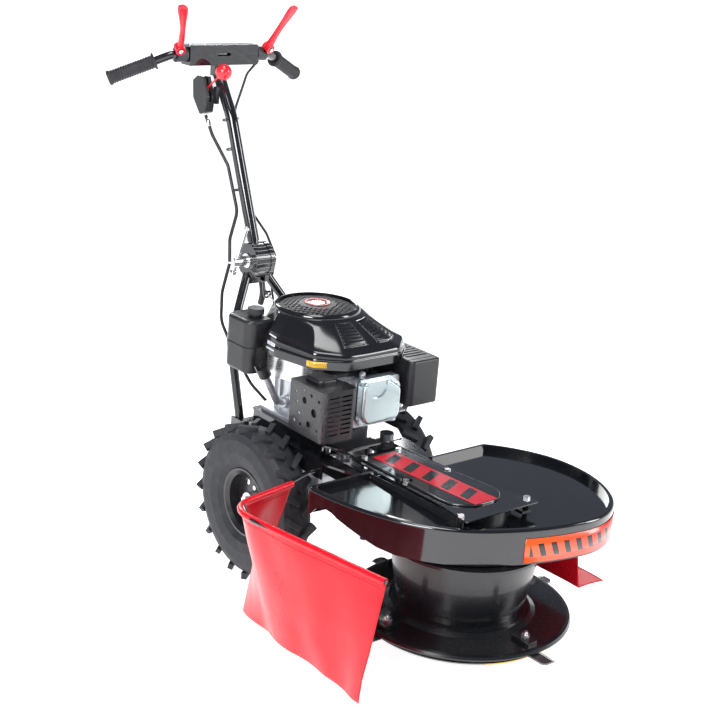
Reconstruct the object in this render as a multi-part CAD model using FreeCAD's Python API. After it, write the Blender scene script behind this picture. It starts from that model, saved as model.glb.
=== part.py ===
import FreeCAD, Part
import math
import os

# Single-drum brush mower, millimetres.
# The machine is modelled level: the drum axis is vertical at x = y = 0, the
# front faces -Y, the operator stands at +Y and the operator's right is -X.
# At the end the whole machine is leant forward by LEAN, as it stands on its
# two wheels and the front edge of its skid plate, and is placed so that the
# middle of its footprint box on the ground is the origin.

V = FreeCAD.Vector
X_AXIS = V(1, 0, 0)
Y_AXIS = V(0, 1, 0)
Z_AXIS = V(0, 0, 1)

# ---------------------------------------------------------------- dimensions
LEAN = 5.27                      # forward lean of the standing machine, degrees

DISC_R = 245.0                   # cutter disc
DISC_TOP = 48.0
DISC_BOTTOM = 32.0
SKID_R = 222.0                   # skid plate under the disc
SKID_FLAT_R = 190.0
SKID_BOTTOM = 4.8
BLADE_REACH = 280.0              # radius swept by the blade tips
BLADE_PIN_R = 205.0              # pitch radius of the blade pins
BLADE_Z = 25.0
BLADE_COUNT = 4
DRUM_BOTTOM_R = 137.0
DRUM_TOP_R = 165.0
DRUM_TOP = 198.0
SHEET = 2.5                      # pressed sheet thickness
SHAFT_R = 12.5
RUN_FIT = 0.05                   # running clearance of a shaft in its bore

DECK_TOP = 282.0                 # top of the deck's rolled rim
TENSIONER_X = -70.0              # pivot of the belt tensioner's arm
TENSIONER_Y = 408.0
PAN_TOP = 268.0                  # recessed floor of the deck
SKIRT_BOTTOM = 203.0
DECK_REAR = 236.0
DECK_HALF = 262.0

WHEEL_R = 185.7
WHEEL_Y = 511.0
WHEEL_Z = 126.6
WHEEL_OUTER = 237.0              # outer face of the tyre from the centreline
WHEEL_WIDTH = 90.0
RIM_R = 82.0
AXLE_R = 10.0

CHASSIS_TOP = 271.0
CHASSIS_HALF = 134.0
CHASSIS_FRONT = 250.0
CHASSIS_REAR = 660.0
ENGINE_PLATE = 298.0             # top of the raised plate that carries the engine
ENGINE_Y = 568.0                 # crankshaft axis
BELT_Z = 271.0                   # middle of the belt
DRUM_PULLEY_R = 72.0
ENGINE_PULLEY_R = 36.0

CAP_X = -134.0                   # fuel cap
CAP_Y = 628.0
JOINT_Y = 822.0                  # tilt joint of the handle mast
JOINT_Z = 612.0
JOINT_R = 43.0
MAST_R = 15.0
BAR_R = 11.0

pieces = {}


# ------------------------------------------------------------------- helpers
def box(x0, x1, y0, y1, z0, z1):
    return Part.makeBox(x1 - x0, y1 - y0, z1 - z0, V(x0, y0, z0))


def cylinder(point, radius, length, axis=Z_AXIS):
    return Part.makeCylinder(radius, length, point, axis)


def rod(start, end, radius):
    return Part.makeCylinder(radius, (end - start).Length, start, end - start)


def ring(point, outer, inner, length, axis=Z_AXIS):
    hole = Part.makeCylinder(inner, length + 2, point - axis * 1, axis)
    return Part.makeCylinder(outer, length, point, axis).cut(hole)


def join(shapes):
    return shapes[0].multiFuse(shapes[1:]).removeSplitter()


def turned(profile, point=V(0, 0, 0), axis=Z_AXIS):
    """Solid of revolution of a closed profile in the XZ plane about Z at point."""
    face = Part.Face(Part.makePolygon([V(r, 0, z) for r, z in profile + profile[:1]]))
    solid = face.revolve(V(0, 0, 0), Z_AXIS, 360)
    solid.Placement = FreeCAD.Placement(point, FreeCAD.Rotation(Z_AXIS, axis))
    return solid


def rounded_edges(points, radii, closed):
    """Straight edges joined by tangent arcs at the corners."""
    count = len(points)
    starts = []
    ends = []
    edges = []
    for i, corner in enumerate(points):
        radius = radii[i]
        if radius == 0 or (not closed and i in (0, count - 1)):
            starts.append(corner)
            ends.append(corner)
            continue
        before = (points[i - 1] - corner).normalize()
        after = (points[(i + 1) % count] - corner).normalize()
        half = before.getAngle(after) / 2
        reach = radius / math.tan(half)
        middle = (before + after).normalize()
        centre = corner + middle * (radius / math.sin(half))
        starts.append(corner + before * reach)
        ends.append(corner + after * reach)
        edges.append((i, Part.Arc(starts[i], centre - middle * radius, ends[i]).toShape()))
    arcs = dict(edges)
    result = []
    for i in range(count):
        if i in arcs:
            result.append(arcs[i])
        if i < count - 1 or closed:
            follow = (i + 1) % count
            if (starts[follow] - ends[i]).Length > 0.01:
                result.append(Part.makeLine(ends[i], starts[follow]))
    return result


def prism(points, radii, low, high):
    """Upright prism over a rounded outline in the XY plane."""
    corners = [V(x, y, low) for x, y in points]
    if not isinstance(radii, (list, tuple)):
        radii = [radii] * len(points)
    wire = Part.Wire(rounded_edges(corners, radii, True))
    return Part.Face(wire).extrude(V(0, 0, high - low))


def pipe(points, bend, radius, wall=0.0):
    """Round bar or tube along straight runs joined by tangent arcs."""
    bends = bend if isinstance(bend, (list, tuple)) else [bend] * len(points)
    path = Part.Wire(rounded_edges(points, bends, False))
    direction = points[1] - points[0]
    section = Part.Wire(Part.makeCircle(radius, points[0], direction))
    solid = path.makePipeShell([section], True, True)
    if wall:
        bore = Part.Wire(Part.makeCircle(radius - wall, points[0], direction))
        solid = solid.cut(path.makePipeShell([bore], True, True))
    return solid


def soften(shape, radius, chosen):
    """Round the edges for which chosen(edge) is true."""
    edges = [e for e in shape.Edges if chosen(e)]
    return shape.makeFillet(radius, edges)


def is_level(edge, height, tolerance=0.05):
    bounds = edge.BoundBox
    return abs(bounds.ZMin - height) < tolerance and abs(bounds.ZMax - height) < tolerance


def is_upright(edge):
    bounds = edge.BoundBox
    return bounds.XLength < 0.01 and bounds.YLength < 0.01


def mirrored(shape):
    return shape.mirror(V(0, 0, 0), X_AXIS)


def hex_bolt(point, axis, head_r, head_h, shank_r, shank_len):
    """Hexagon head on top of a shank that runs back along the axis."""
    corners = []
    for k in range(6):
        corners.append(V(head_r * math.cos(math.pi * k / 3), head_r * math.sin(math.pi * k / 3), 0))
    head = Part.Face(Part.makePolygon(corners + corners[:1])).extrude(V(0, 0, head_h))
    shank = Part.makeCylinder(shank_r, shank_len, V(0, 0, -shank_len))
    bolt = head.fuse(shank)
    bolt.Placement = FreeCAD.Placement(point, FreeCAD.Rotation(Z_AXIS, axis))
    return bolt


# ---------------------------------------------------------------------- deck
def deck_face(inset, height):
    """Deck outline seen from above, moved inwards by inset."""
    rear_left = V(-DECK_HALF, DECK_REAR, height)
    rear_right = V(DECK_HALF, DECK_REAR, height)
    left = V(-211, 17, height)
    front_left = V(-52, -148, height)
    front = V(145, -207, height)
    front_right = V(308, -134, height)
    right = V(347, 105, height)
    edges = [
        Part.Arc(rear_left, V(-246, 116, height), left).toShape(),
        Part.Arc(left, V(-150, -77, height), front_left).toShape(),
        Part.Arc(front_left, V(45, -187, height), front).toShape(),
        Part.Arc(front, V(238, -192, height), front_right).toShape(),
        Part.Arc(front_right, V(356, -15, height), right).toShape(),
        Part.Arc(right, V(312, 176, height), rear_right).toShape(),
        Part.makeLine(rear_right, rear_left),
    ]
    face = Part.Face(Part.Wire(edges))
    if inset:
        face = Part.Face(face.makeOffset2D(-inset, 0, False, False, True).OuterWire)
    return face


def deck_solid(inset, low, high, corner):
    solid = deck_face(inset, low).extrude(V(0, 0, high - low))

    def rear_corner(edge):
        return is_upright(edge) and edge.BoundBox.YMin > DECK_REAR - inset - 3

    return soften(solid, corner, rear_corner)


def make_deck():
    rim = 13.0
    outer = deck_solid(0, SKIRT_BOTTOM, DECK_TOP, 18)
    outer = soften(outer, 7.0, lambda e: is_level(e, DECK_TOP))
    under = deck_solid(SHEET, SKIRT_BOTTOM - 1, PAN_TOP - SHEET, 16)
    recess = deck_solid(rim, PAN_TOP, DECK_TOP + 1, 8)
    channel = deck_solid(SHEET, PAN_TOP - SHEET - 1, DECK_TOP - SHEET - 3.5, 16)
    channel = channel.cut(deck_solid(rim - SHEET, PAN_TOP - 5, DECK_TOP, 9))
    deck = outer.cut(under).cut(recess).cut(channel)
    # the left side of the skirt rises over an arch at its rear
    arch_front = V(-300, 178, 250)
    outline = [
        Part.makeLine(V(-300, 0, SKIRT_BOTTOM), V(-300, 38, 209)),
        Part.makeLine(V(-300, 38, 209), V(-300, 140, 242)),
        Part.Arc(V(-300, 140, 242), arch_front, V(-300, 205, 236)).toShape(),
        Part.Arc(V(-300, 205, 236), V(-300, 222, 220), V(-300, 250, 213)).toShape(),
        Part.makeLine(V(-300, 250, 213), V(-300, 250, 190)),
        Part.makeLine(V(-300, 250, 190), V(-300, 0, 190)),
        Part.makeLine(V(-300, 0, 190), V(-300, 0, SKIRT_BOTTOM)),
    ]
    arch = Part.Face(Part.Wire(outline)).extrude(V(150, 0, 0))
    deck = deck.cut(arch)
    # the rear wall is open for the two chassis rails
    deck = deck.cut(box(-118, 118, DECK_REAR - 6, DECK_REAR + 2, SKIRT_BOTTOM - 1, PAN_TOP - SHEET))
    # hole for the drum pulley, and a gap in the rear rim for the belt
    deck = deck.cut(cylinder(V(0, 0, PAN_TOP - 6), DRUM_PULLEY_R + 4, 12))
    return deck.cut(box(-92, 92, DECK_REAR - 15, DECK_REAR + 4, PAN_TOP - 0.02, DECK_TOP + 8))


def cover_height(y):
    """The belt cover rises slightly towards the front."""
    return 286.0 - 0.044 * (y - 138.0)


def make_belt_housing():
    wall = 2.0
    outline = [(-88, 300), (88, 300), (92, -86), (-92, -86)]
    radii = [4, 4, 84, 84]
    inner = [(-86, 302), (86, 302), (90, -84), (-90, -84)]
    body = prism(outline, radii, PAN_TOP + 0.02, 320)
    body = body.cut(prism(inner, radii, PAN_TOP - 1, 321))
    top = box(-200, 200, -300, 400, 0, 60)
    top.rotate(V(0, 138, 0), X_AXIS, -math.degrees(math.atan(0.044)))
    top.translate(V(0, 0, cover_height(138) - wall - 2.52))
    body = body.cut(top)
    # behind the deck the wall stands on the chassis
    body = body.cut(box(-100, 100, DECK_REAR - 10, 320, 200, CHASSIS_TOP + 0.3))
    for side in (-1, 1):
        post = cylinder(V(side * 96.5, -75, PAN_TOP + 0.02), 8, cover_height(-75) - 2.9 - PAN_TOP)
        foot = box(min(side * 78, side * 104), max(side * 78, side * 104), -84, -42, PAN_TOP + 0.02, PAN_TOP + 3)
        body = body.fuse(post).fuse(foot)
    for side in (-1, 1):
        body = body.cut(cylinder(V(side * 96.5, -75, PAN_TOP - 1), 5, 40))
    return body.removeSplitter()


def make_belt_cover():
    outline = [(-72, 320), (72, 320), (88, 0), (95, -50), (108, -103), (-108, -103), (-95, -50), (-88, 0)]
    plate = prism(outline, [10, 10, 0, 0, 5, 5, 0, 0], -2.5, 0)
    boss = [(-60, 306), (60, 306), (78, -52), (-78, -52)]
    raised = prism(boss, [12, 12, 62, 62], 0, 4)
    raised = soften(raised, 2.5, lambda e: is_level(e, 4))
    cover = plate.fuse(raised)
    for x, y in ((61.5, 138.7), (-61.5, 138.7)):
        cover = cover.cut(cylinder(V(x, y, 0.8), 15, 6))
        cover = cover.cut(cylinder(V(x, y, -4), 4.6, 10))
    for x in (-96.5, 96.5):
        cover = cover.cut(cylinder(V(x, -75, -4), 4.6, 10))
    for x in (-50, 50):
        cover = cover.cut(cylinder(V(x, 296, -4), 4.6, 12))
    cover.rotate(V(0, 138, 0), X_AXIS, -math.degrees(math.atan(0.044)))
    cover.translate(V(0, 0, cover_height(138)))
    return cover


def make_cover_bolts():
    tilt = math.atan(0.044)
    axis = V(0, math.sin(tilt), math.cos(tilt))
    bolts = []
    for x, y, lift in ((61.5, 138.7, 0.85), (-61.5, 138.7, 0.85), (96.5, -75, 0.05), (-96.5, -75, 0.05),
                       (50, 296, 4.05), (-50, 296, 4.05)):
        bolts.append(hex_bolt(V(x, y, cover_height(y) + lift), axis, 7.5, 5, 4.2, 9))
    return Part.makeCompound(bolts)


# ---------------------------------------------------------------------- drum
def make_spindle_housing():
    flange = cylinder(V(0, 0, PAN_TOP - SHEET - 8.02), 100, 8)
    neck = cylinder(V(0, 0, 204), 44, 54)
    housing = join([flange, neck])
    for k in range(6):
        rib = box(40, 84, -3, 3, 222, 258)
        rib.rotate(V(0, 0, 0), Z_AXIS, 60 * k)
        housing = housing.fuse(rib)
    return housing.cut(cylinder(V(0, 0, 200), SHAFT_R + RUN_FIT, 80)).removeSplitter()


def make_drum_shell():
    wall = SHEET
    profile = [
        (DRUM_BOTTOM_R + 14, DISC_TOP + 0.02), (DRUM_BOTTOM_R + 14, DISC_TOP + 3),
        (DRUM_BOTTOM_R + 1, DISC_TOP + 5), (DRUM_BOTTOM_R + 10, 90), (DRUM_TOP_R - 9, 142),
        (DRUM_TOP_R, DRUM_TOP - 8), (DRUM_TOP_R + 10, DRUM_TOP - 6), (DRUM_TOP_R + 10, DRUM_TOP),
        (30, DRUM_TOP), (30, DRUM_TOP - wall), (DRUM_TOP_R - wall, DRUM_TOP - wall),
        (DRUM_TOP_R - 9 - wall, 142), (DRUM_BOTTOM_R + 10 - wall, 90),
        (DRUM_BOTTOM_R - wall, DISC_TOP + 4), (DRUM_BOTTOM_R - wall, DISC_TOP + 0.02),
    ]
    return turned(profile)


def make_drum_shaft():
    shaft = cylinder(V(0, 0, 9), SHAFT_R, 272)
    lower = cylinder(V(0, 0, DISC_TOP + 0.02), 60, 8)
    upper = cylinder(V(0, 0, DRUM_TOP - SHEET - 8.02), 60, 8)
    tail = cylinder(V(0, 0, DISC_TOP), 20, 40)
    collar = cylinder(V(0, 0, 24.3), 20, 15.6)
    return join([shaft, lower, upper, tail, collar])


def make_cutter_disc():
    profile = [
        (SHAFT_R + 0.02, 40), (DRUM_BOTTOM_R + 16, 40), (DRUM_BOTTOM_R + 28, 37), (DISC_R - 14, 37),
        (DISC_R - 9, DISC_TOP - 11), (DISC_R - 3, DISC_BOTTOM), (DISC_R, DISC_BOTTOM),
        (DISC_R, DISC_BOTTOM + 3), (DISC_R - 3, DISC_TOP - 8), (DISC_R - 10, DISC_TOP - 6.5),
        (DISC_R - 14, DISC_TOP - 6.5), (DRUM_BOTTOM_R + 30, DISC_TOP - 6.5), (DRUM_BOTTOM_R + 18, DISC_TOP),
        (SHAFT_R + 0.02, DISC_TOP),
    ]
    disc = turned(profile)
    for k in range(BLADE_COUNT):
        bridge = box(BLADE_PIN_R - 26, BLADE_PIN_R + 22, -17, 17, DISC_TOP - 8, DISC_TOP + 1.5)
        bridge = soften(bridge, 5, is_upright)
        hole = cylinder(V(BLADE_PIN_R, 0, DISC_BOTTOM - 2), 6.05, 30)
        bridge.rotate(V(0, 0, 0), Z_AXIS, 90 * k)
        hole.rotate(V(0, 0, 0), Z_AXIS, 90 * k)
        disc = disc.fuse(bridge).cut(hole)
    return disc.removeSplitter()


def make_blade_bolts():
    bolts = []
    for k in range(BLADE_COUNT):
        bolt = hex_bolt(V(BLADE_PIN_R, 0, DISC_TOP + 1.55), Z_AXIS, 9.5, 8, 6.0, 27.5)
        head = cylinder(V(BLADE_PIN_R, 0, DISC_TOP + 9.5), 4, 7)
        foot = cylinder(V(BLADE_PIN_R, 0, BLADE_Z - 5.5), 11, 2.6)
        bolt = join([bolt, head, foot])
        bolt.rotate(V(0, 0, 0), Z_AXIS, 90 * k)
        bolts.append(bolt)
    return Part.makeCompound(bolts)


def make_blade(index):
    """Swinging knife with a bevelled outer end, on its own pin."""
    half = 17.0
    outline = [(BLADE_PIN_R - 18, -half), (BLADE_REACH - 6, -half), (BLADE_REACH, -half + 8),
               (BLADE_REACH, half), (BLADE_PIN_R - 18, half)]
    blade = prism(outline, [8, 0, 0, 0, 8], BLADE_Z - 2, BLADE_Z + 2)
    blade = blade.cut(cylinder(V(BLADE_PIN_R, 0, BLADE_Z - 5), 6.0 + RUN_FIT, 10))
    bevel = box(BLADE_PIN_R + 25, BLADE_REACH + 1, half - 7, half + 1, BLADE_Z - 2.1, BLADE_Z + 2.1)
    bevel.rotate(V(BLADE_PIN_R, half - 7, BLADE_Z + 2), X_AXIS, -18)
    bevel.translate(V(0, 0, 2.0))
    blade = blade.cut(bevel)
    blade.rotate(V(0, 0, 0), Z_AXIS, 90 * index)
    return blade


def make_skid_plate():
    top = SKID_BOTTOM + 3
    profile = [
        (0, SKID_BOTTOM), (SKID_FLAT_R, SKID_BOTTOM), (SKID_R - 6, SKID_BOTTOM + 4),
        (SKID_R, SKID_BOTTOM + 10), (SKID_R - 3, SKID_BOTTOM + 10.5), (SKID_R - 9, SKID_BOTTOM + 7),
        (SKID_FLAT_R - 1, top), (34, top), (34, 24), (SHAFT_R + RUN_FIT, 24),
        (SHAFT_R + RUN_FIT, top), (0, top),
    ]
    return turned(profile)


def v_pulley(point, radius, height):
    half = height / 2
    profile = [
        (0, -half), (radius, -half), (radius, -half + 1), (radius - 9, -2.5), (radius - 9, 2.5),
        (radius, half - 1), (radius, half), (0, half),
    ]
    return turned(profile, point)


def make_drum_pulley():
    return v_pulley(V(0, 0, BELT_Z), DRUM_PULLEY_R, 10)


def make_belt():
    """V belt around the two pulleys, as one flat loop."""
    gap = 0.4
    inner_big = DRUM_PULLEY_R - 8.5 + gap + 6
    inner_small = ENGINE_PULLEY_R - 8.5 + gap + 6
    thickness = 6.0
    low = BELT_Z - 2.0
    high = BELT_Z + 2.0

    def loop(extra):
        big = inner_big + extra
        small = inner_small + extra
        angle = math.acos((big - small) / ENGINE_Y)
        reach = V(math.sin(angle), math.cos(angle), 0)
        other = V(-reach.x, reach.y, 0)
        lift = V(0, 0, low)
        rear = V(0, ENGINE_Y, 0)
        edges = [
            Part.makeLine(reach * big + lift, rear + reach * small + lift),
            Part.Arc(rear + reach * small + lift, rear + V(0, small, 0) + lift,
                     rear + other * small + lift).toShape(),
            Part.makeLine(rear + other * small + lift, other * big + lift),
            Part.Arc(other * big + lift, V(0, -big, 0) + lift, reach * big + lift).toShape(),
        ]
        return Part.Face(Part.Wire(edges)).extrude(V(0, 0, high - low))

    return loop(thickness).cut(loop(0))


# ------------------------------------------------------------------- chassis
def make_chassis():
    thick = 5.0
    low = CHASSIS_TOP - thick
    plate = prism([(-112, CHASSIS_FRONT), (112, CHASSIS_FRONT), (CHASSIS_HALF, 330),
                   (CHASSIS_HALF, CHASSIS_REAR), (-CHASSIS_HALF, CHASSIS_REAR), (-CHASSIS_HALF, 330)],
                  [6, 6, 20, 8, 8, 20], low, CHASSIS_TOP)
    # the belt runs level with the plate, in a long notch
    plate = plate.cut(box(-91, 91, CHASSIS_FRONT - 5, ENGINE_Y + 48, low - 1, CHASSIS_TOP + 1))
    parts = [plate]
    for side in (-1, 1):
        inner = side * (CHASSIS_HALF - thick)
        outer = side * CHASSIS_HALF
        near = min(inner, outer)
        far = max(inner, outer)
        parts.append(box(near, far, 345, CHASSIS_REAR - 4, low - 38, low + 1))
        # rear tab that takes the foot of the handle leg
        parts.append(box(near, far, CHASSIS_REAR - 20, 706, 212, 262))
        # hanger plate down to the axle tube
        hanger = [(WHEEL_Y - 60, low), (WHEEL_Y + 60, low), (WHEEL_Y + 34, WHEEL_Z - 10),
                  (WHEEL_Y, WHEEL_Z - 34), (WHEEL_Y - 34, WHEEL_Z - 10)]
        wire = Part.makePolygon([V(side * 92, y, z) for y, z in hanger + hanger[:1]])
        parts.append(Part.Face(wire).extrude(V(side * 8, 0, 0)))
        # rail under the deck floor
        near = min(side * 92, side * 100)
        far = max(side * 92, side * 100)
        parts.append(box(near, far, 108, 246, 226, PAN_TOP - SHEET - 0.02))
        parts.append(box(near, far, 246, 470, 226, low + 1))
    parts.append(box(-100, 100, 108, 114, 230, PAN_TOP - SHEET - 0.02))
    # cross members under the belt, for the gearbox and for the tensioner pin
    parts.append(box(-131, 131, 455, 530, 254, 260))
    parts.append(box(-131, 131, TENSIONER_Y - 15, TENSIONER_Y + 15, 254, 260))
    parts.append(cylinder(V(TENSIONER_X, TENSIONER_Y, 258), 5, 30))
    # cross bar between the two rear tabs
    parts.append(box(-CHASSIS_HALF + 3, CHASSIS_HALF - 3, 702, 706, 213, 232))
    chassis = join(parts)
    for side in (-1, 1):
        chassis = chassis.cut(cylinder(V(side * 80, WHEEL_Y, WHEEL_Z), 20.3, 30, V(side, 0, 0)))
    return chassis


def make_engine_plate():
    """Raised plate that carries the engine, with side walls down to the chassis."""
    top = ENGINE_PLATE
    thick = 4.0
    plate = prism([(-84, 322), (84, 322), (112, 372), (112, CHASSIS_REAR - 4), (-112, CHASSIS_REAR - 4),
                   (-112, 372)], [6, 6, 14, 10, 10, 14], top - thick, top)
    walls = [plate]
    for side in (-1, 1):
        inner = side * 108
        outer = side * 112
        walls.append(box(min(inner, outer), max(inner, outer), 380, CHASSIS_REAR - 14, CHASSIS_TOP - 1, top - 1))
    walls.append(box(-100, 100, CHASSIS_REAR - 8, CHASSIS_REAR - 4, CHASSIS_TOP - 1, top - 1))
    plate = join(walls)
    return plate.cut(cylinder(V(0, ENGINE_Y, 280), 40, 40))


def make_gearbox():
    body = box(-52, 52, WHEEL_Y - 58, WHEEL_Y + 52, WHEEL_Z - 46, WHEEL_Z + 58)
    body = soften(body, 14, lambda e: True)
    neck = cylinder(V(0, WHEEL_Y - 20, WHEEL_Z + 50), 26, 253.98 - WHEEL_Z - 50)
    split = box(-3, 3, WHEEL_Y - 62, WHEEL_Y + 56, WHEEL_Z - 50, WHEEL_Z + 61)
    split = soften(split, 2, lambda e: not is_upright(e))
    bosses = [cylinder(V(side * 50, WHEEL_Y, WHEEL_Z), 30, 12, V(side, 0, 0)) for side in (-1, 1)]
    gearbox = join([body, neck, split] + bosses)
    tubes = [cylinder(V(side * 50, WHEEL_Y, WHEEL_Z), 20, 82, V(side, 0, 0)) for side in (-1, 1)]
    bore = cylinder(V(-140, WHEEL_Y, WHEEL_Z), AXLE_R + RUN_FIT, 280, X_AXIS)
    return join([gearbox] + tubes).cut(bore)


def make_leg():
    """Handle leg on the left: foot on the chassis tab, top at the tilt joint."""
    foot = V(-117.5, 686, 232)
    knee = V(-112, 756, 439)
    top = V(-27, JOINT_Y - 2, JOINT_Z - 34)
    leg = pipe([foot, knee, top], [0, 60, 0], 11, 2.5)
    lug = box(-128.9, -108, 672, 700, 218, 246)
    lug = lug.cut(box(-128, -109, 640, 720, 247, 260))
    return leg.fuse(lug).removeSplitter()


def toothed_disc(x0, x1, radius, teeth):
    """Disc square to X with a toothed rim, centred on the tilt joint."""
    disc = cylinder(V(x0, JOINT_Y, JOINT_Z), radius, x1 - x0, X_AXIS)
    for k in range(teeth):
        angle = 2 * math.pi * k / teeth
        notch = cylinder(V(x0 - 1, JOINT_Y + (radius + 1.2) * math.cos(angle),
                           JOINT_Z + (radius + 1.2) * math.sin(angle)), 3.0, x1 - x0 + 2, X_AXIS)
        disc = disc.cut(notch)
    return disc


def make_joint_lower():
    """Two toothed cheeks on the legs, tied by a strap below the joint."""
    cheeks = []
    for x0, x1 in ((-28, -16.2), (16.2, 28)):
        cheek = toothed_disc(x0, x1, JOINT_R, 24)
        cheeks.append(cheek.cut(cylinder(V(-40, JOINT_Y, JOINT_Z), 8 + RUN_FIT, 80, X_AXIS)))
    strap = box(-28, 28, JOINT_Y - 8, JOINT_Y + 6, JOINT_Z - 58, JOINT_Z - 44.5)
    hangers = [box(x0, x0 + 11.8, JOINT_Y - 18, JOINT_Y + 12, JOINT_Z - 54, JOINT_Z - 34) for x0 in (-28, 16.2)]
    return join(cheeks + hangers + [strap])


STARTER_AXIS = V(0, 0.94, 0.34).normalize()
STARTER_AT = V(41, 838, 522)


def make_rope_guide():
    """Eyelet below the tilt joint that the starter rope runs through."""
    eye_at = STARTER_AT - STARTER_AXIS * 15.5
    eye = Part.makeTorus(9, 3, eye_at, STARTER_AXIS)
    arm = rod(V(20, JOINT_Y - 4, JOINT_Z - 50), eye_at - V(10, 0, 0), 3)
    return arm.fuse(eye)


# -------------------------------------------------------------------- wheels
def make_tyre():
    """Left tyre, outer face towards -X, with paired chevron lugs."""
    outer = -WHEEL_OUTER
    inner = -WHEEL_OUTER + WHEEL_WIDTH
    crown = WHEEL_R - 9
    middle = (outer + inner) / 2
    points = [
        (RIM_R, outer + 15), (RIM_R + 14, outer + 4), (120, outer), (150, outer + 2), (crown - 10, outer + 8),
        (crown - 2, outer + 20), (crown, middle), (crown - 2, inner - 20), (crown - 10, inner - 8),
        (150, inner - 2), (120, inner), (RIM_R + 14, inner - 4), (RIM_R, inner - 15),
        (RIM_R, inner - 22), (RIM_R + 20, inner - 12), (150, inner - 12), (crown - 14, middle + 20),
        (crown - 14, middle - 20), (150, outer + 12), (RIM_R + 20, outer + 12), (RIM_R, outer + 22),
    ]
    centre = V(0, WHEEL_Y, WHEEL_Z)
    face = Part.Face(Part.makePolygon([V(x, WHEEL_Y + r, WHEEL_Z) for r, x in points + points[:1]]))
    tyre = face.revolve(centre, X_AXIS, 360)
    lugs = []
    count = 20
    for side in (-1, 1):
        for k in range(count):
            lug = box(-3, 42, -6.5, 6.5, crown - 8, WHEEL_R)
            lug = soften(lug, 2.0, lambda e: is_level(e, WHEEL_R))
            lug.rotate(V(0, 0, 0), Z_AXIS, 38)
            if side < 0:
                lug = lug.mirror(V(0, 0, 0), X_AXIS)
            lug.translate(V(middle + 6 * side, 0, 0))
            lug.rotate(V(0, 0, 0), X_AXIS, 360.0 / count * (k + (0.5 if side > 0 else 0)))
            lug.translate(centre)
            lugs.append(lug)
    return tyre.multiFuse(lugs)


def make_rim():
    """Pressed steel wheel: barrel, deep dish with hand holes, and hub tube."""
    outer = -WHEEL_OUTER
    barrel_out = outer + 12
    barrel_in = outer + WHEEL_WIDTH - 12
    dish = outer + 46
    profile = [
        (barrel_out, RIM_R - 0.3), (barrel_out, RIM_R - 5), (barrel_out + 8, RIM_R - 14),
        (dish, RIM_R - 16), (dish, 22), (dish + 3, 22), (dish + 3, RIM_R - 18.5),
        (barrel_in - 8, RIM_R - 14), (barrel_in, RIM_R - 5), (barrel_in, RIM_R - 0.3),
        (barrel_in - 2.5, RIM_R - 0.3), (barrel_in - 9, RIM_R - 11), (dish + 4, RIM_R - 13),
        (barrel_out + 9, RIM_R - 11), (barrel_out + 2.5, RIM_R - 0.3),
    ]
    face = Part.Face(Part.makePolygon([V(x, WHEEL_Y + r, WHEEL_Z) for x, r in profile + profile[:1]]))
    rim = face.revolve(V(0, WHEEL_Y, WHEEL_Z), X_AXIS, 360)
    for k in range(4):
        angle = math.radians(90 * k)
        rim = rim.cut(cylinder(V(dish - 6, WHEEL_Y + 31 * math.cos(angle), WHEEL_Z + 31 * math.sin(angle)),
                               5.52, 15, X_AXIS))
        angle = math.radians(45 + 90 * k)
        rim = rim.cut(cylinder(V(dish - 5, WHEEL_Y + 48 * math.cos(angle), WHEEL_Z + 48 * math.sin(angle)),
                               8, 15, X_AXIS))
    return rim


def make_hub():
    """Free-wheel hub with its flange, drive shaft, wheel bolts and end nut."""
    dish = -WHEEL_OUTER + 46
    axis = X_AXIS
    flange = cylinder(V(dish + 3.02, WHEEL_Y, WHEEL_Z), 40, 6, axis)
    sleeve = cylinder(V(dish - 22, WHEEL_Y, WHEEL_Z), 21.9, 62, axis)
    shaft = cylinder(V(-WHEEL_OUTER + 16, WHEEL_Y, WHEEL_Z), AXLE_R, WHEEL_OUTER - 16 - 31, axis)
    parts = [flange, sleeve, shaft]
    for k in range(4):
        angle = math.radians(90 * k)
        place = V(dish - 5, WHEEL_Y + 31 * math.cos(angle), WHEEL_Z + 31 * math.sin(angle))
        parts.append(cylinder(place, 5.5, 12, axis))
    nut = hex_bolt(V(-WHEEL_OUTER + 24, WHEEL_Y, WHEEL_Z), V(-1, 0, 0), 15, 9, 5, 4)
    return join(parts + [nut])


# -------------------------------------------------------------------- engine
def make_crankcase():
    base = prism([(-98, 474), (98, 474), (98, 652), (-98, 652)], 26, ENGINE_PLATE + 0.02, ENGINE_PLATE + 10)
    body = cylinder(V(0, ENGINE_Y, ENGINE_PLATE + 8), 84, 104)
    front = box(-50, 84, 440, 560, ENGINE_PLATE + 14, ENGINE_PLATE + 111)
    front = soften(front, 12, is_upright)
    ribs = []
    for k in range(10):
        rib = box(70, 90, -2, 2, ENGINE_PLATE + 9, ENGINE_PLATE + 96)
        rib.rotate(V(0, 0, 0), Z_AXIS, 90 + 24 * k - 108)
        rib.translate(V(0, ENGINE_Y, 0))
        ribs.append(rib)
    boss = rod(V(-70, 556, 336), V(-97, 553, 343), 15)
    case = join([base, body, front, boss] + ribs)
    case = case.cut(cylinder(V(0, ENGINE_Y, 290), 12.5 + RUN_FIT, 130))
    return case.cut(cylinder(V(0, ENGINE_Y, ENGINE_PLATE + 100), 60, 20))


def make_blower_ring():
    lower = cylinder(V(0, ENGINE_Y, 410.02), 128, 8)
    wall = ring(V(0, ENGINE_Y, 418), 128, 122, 52)
    front = box(-84, 84, 430, 500, 427, 431)
    piece = join([lower, wall, front])
    piece = piece.cut(cylinder(V(0, ENGINE_Y, 400), 61, 40))
    piece = piece.cut(box(-170, -84, 583, 720, 400, 480))
    return piece.cut(box(-60, 60, 420, 460, 432, 480))


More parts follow.
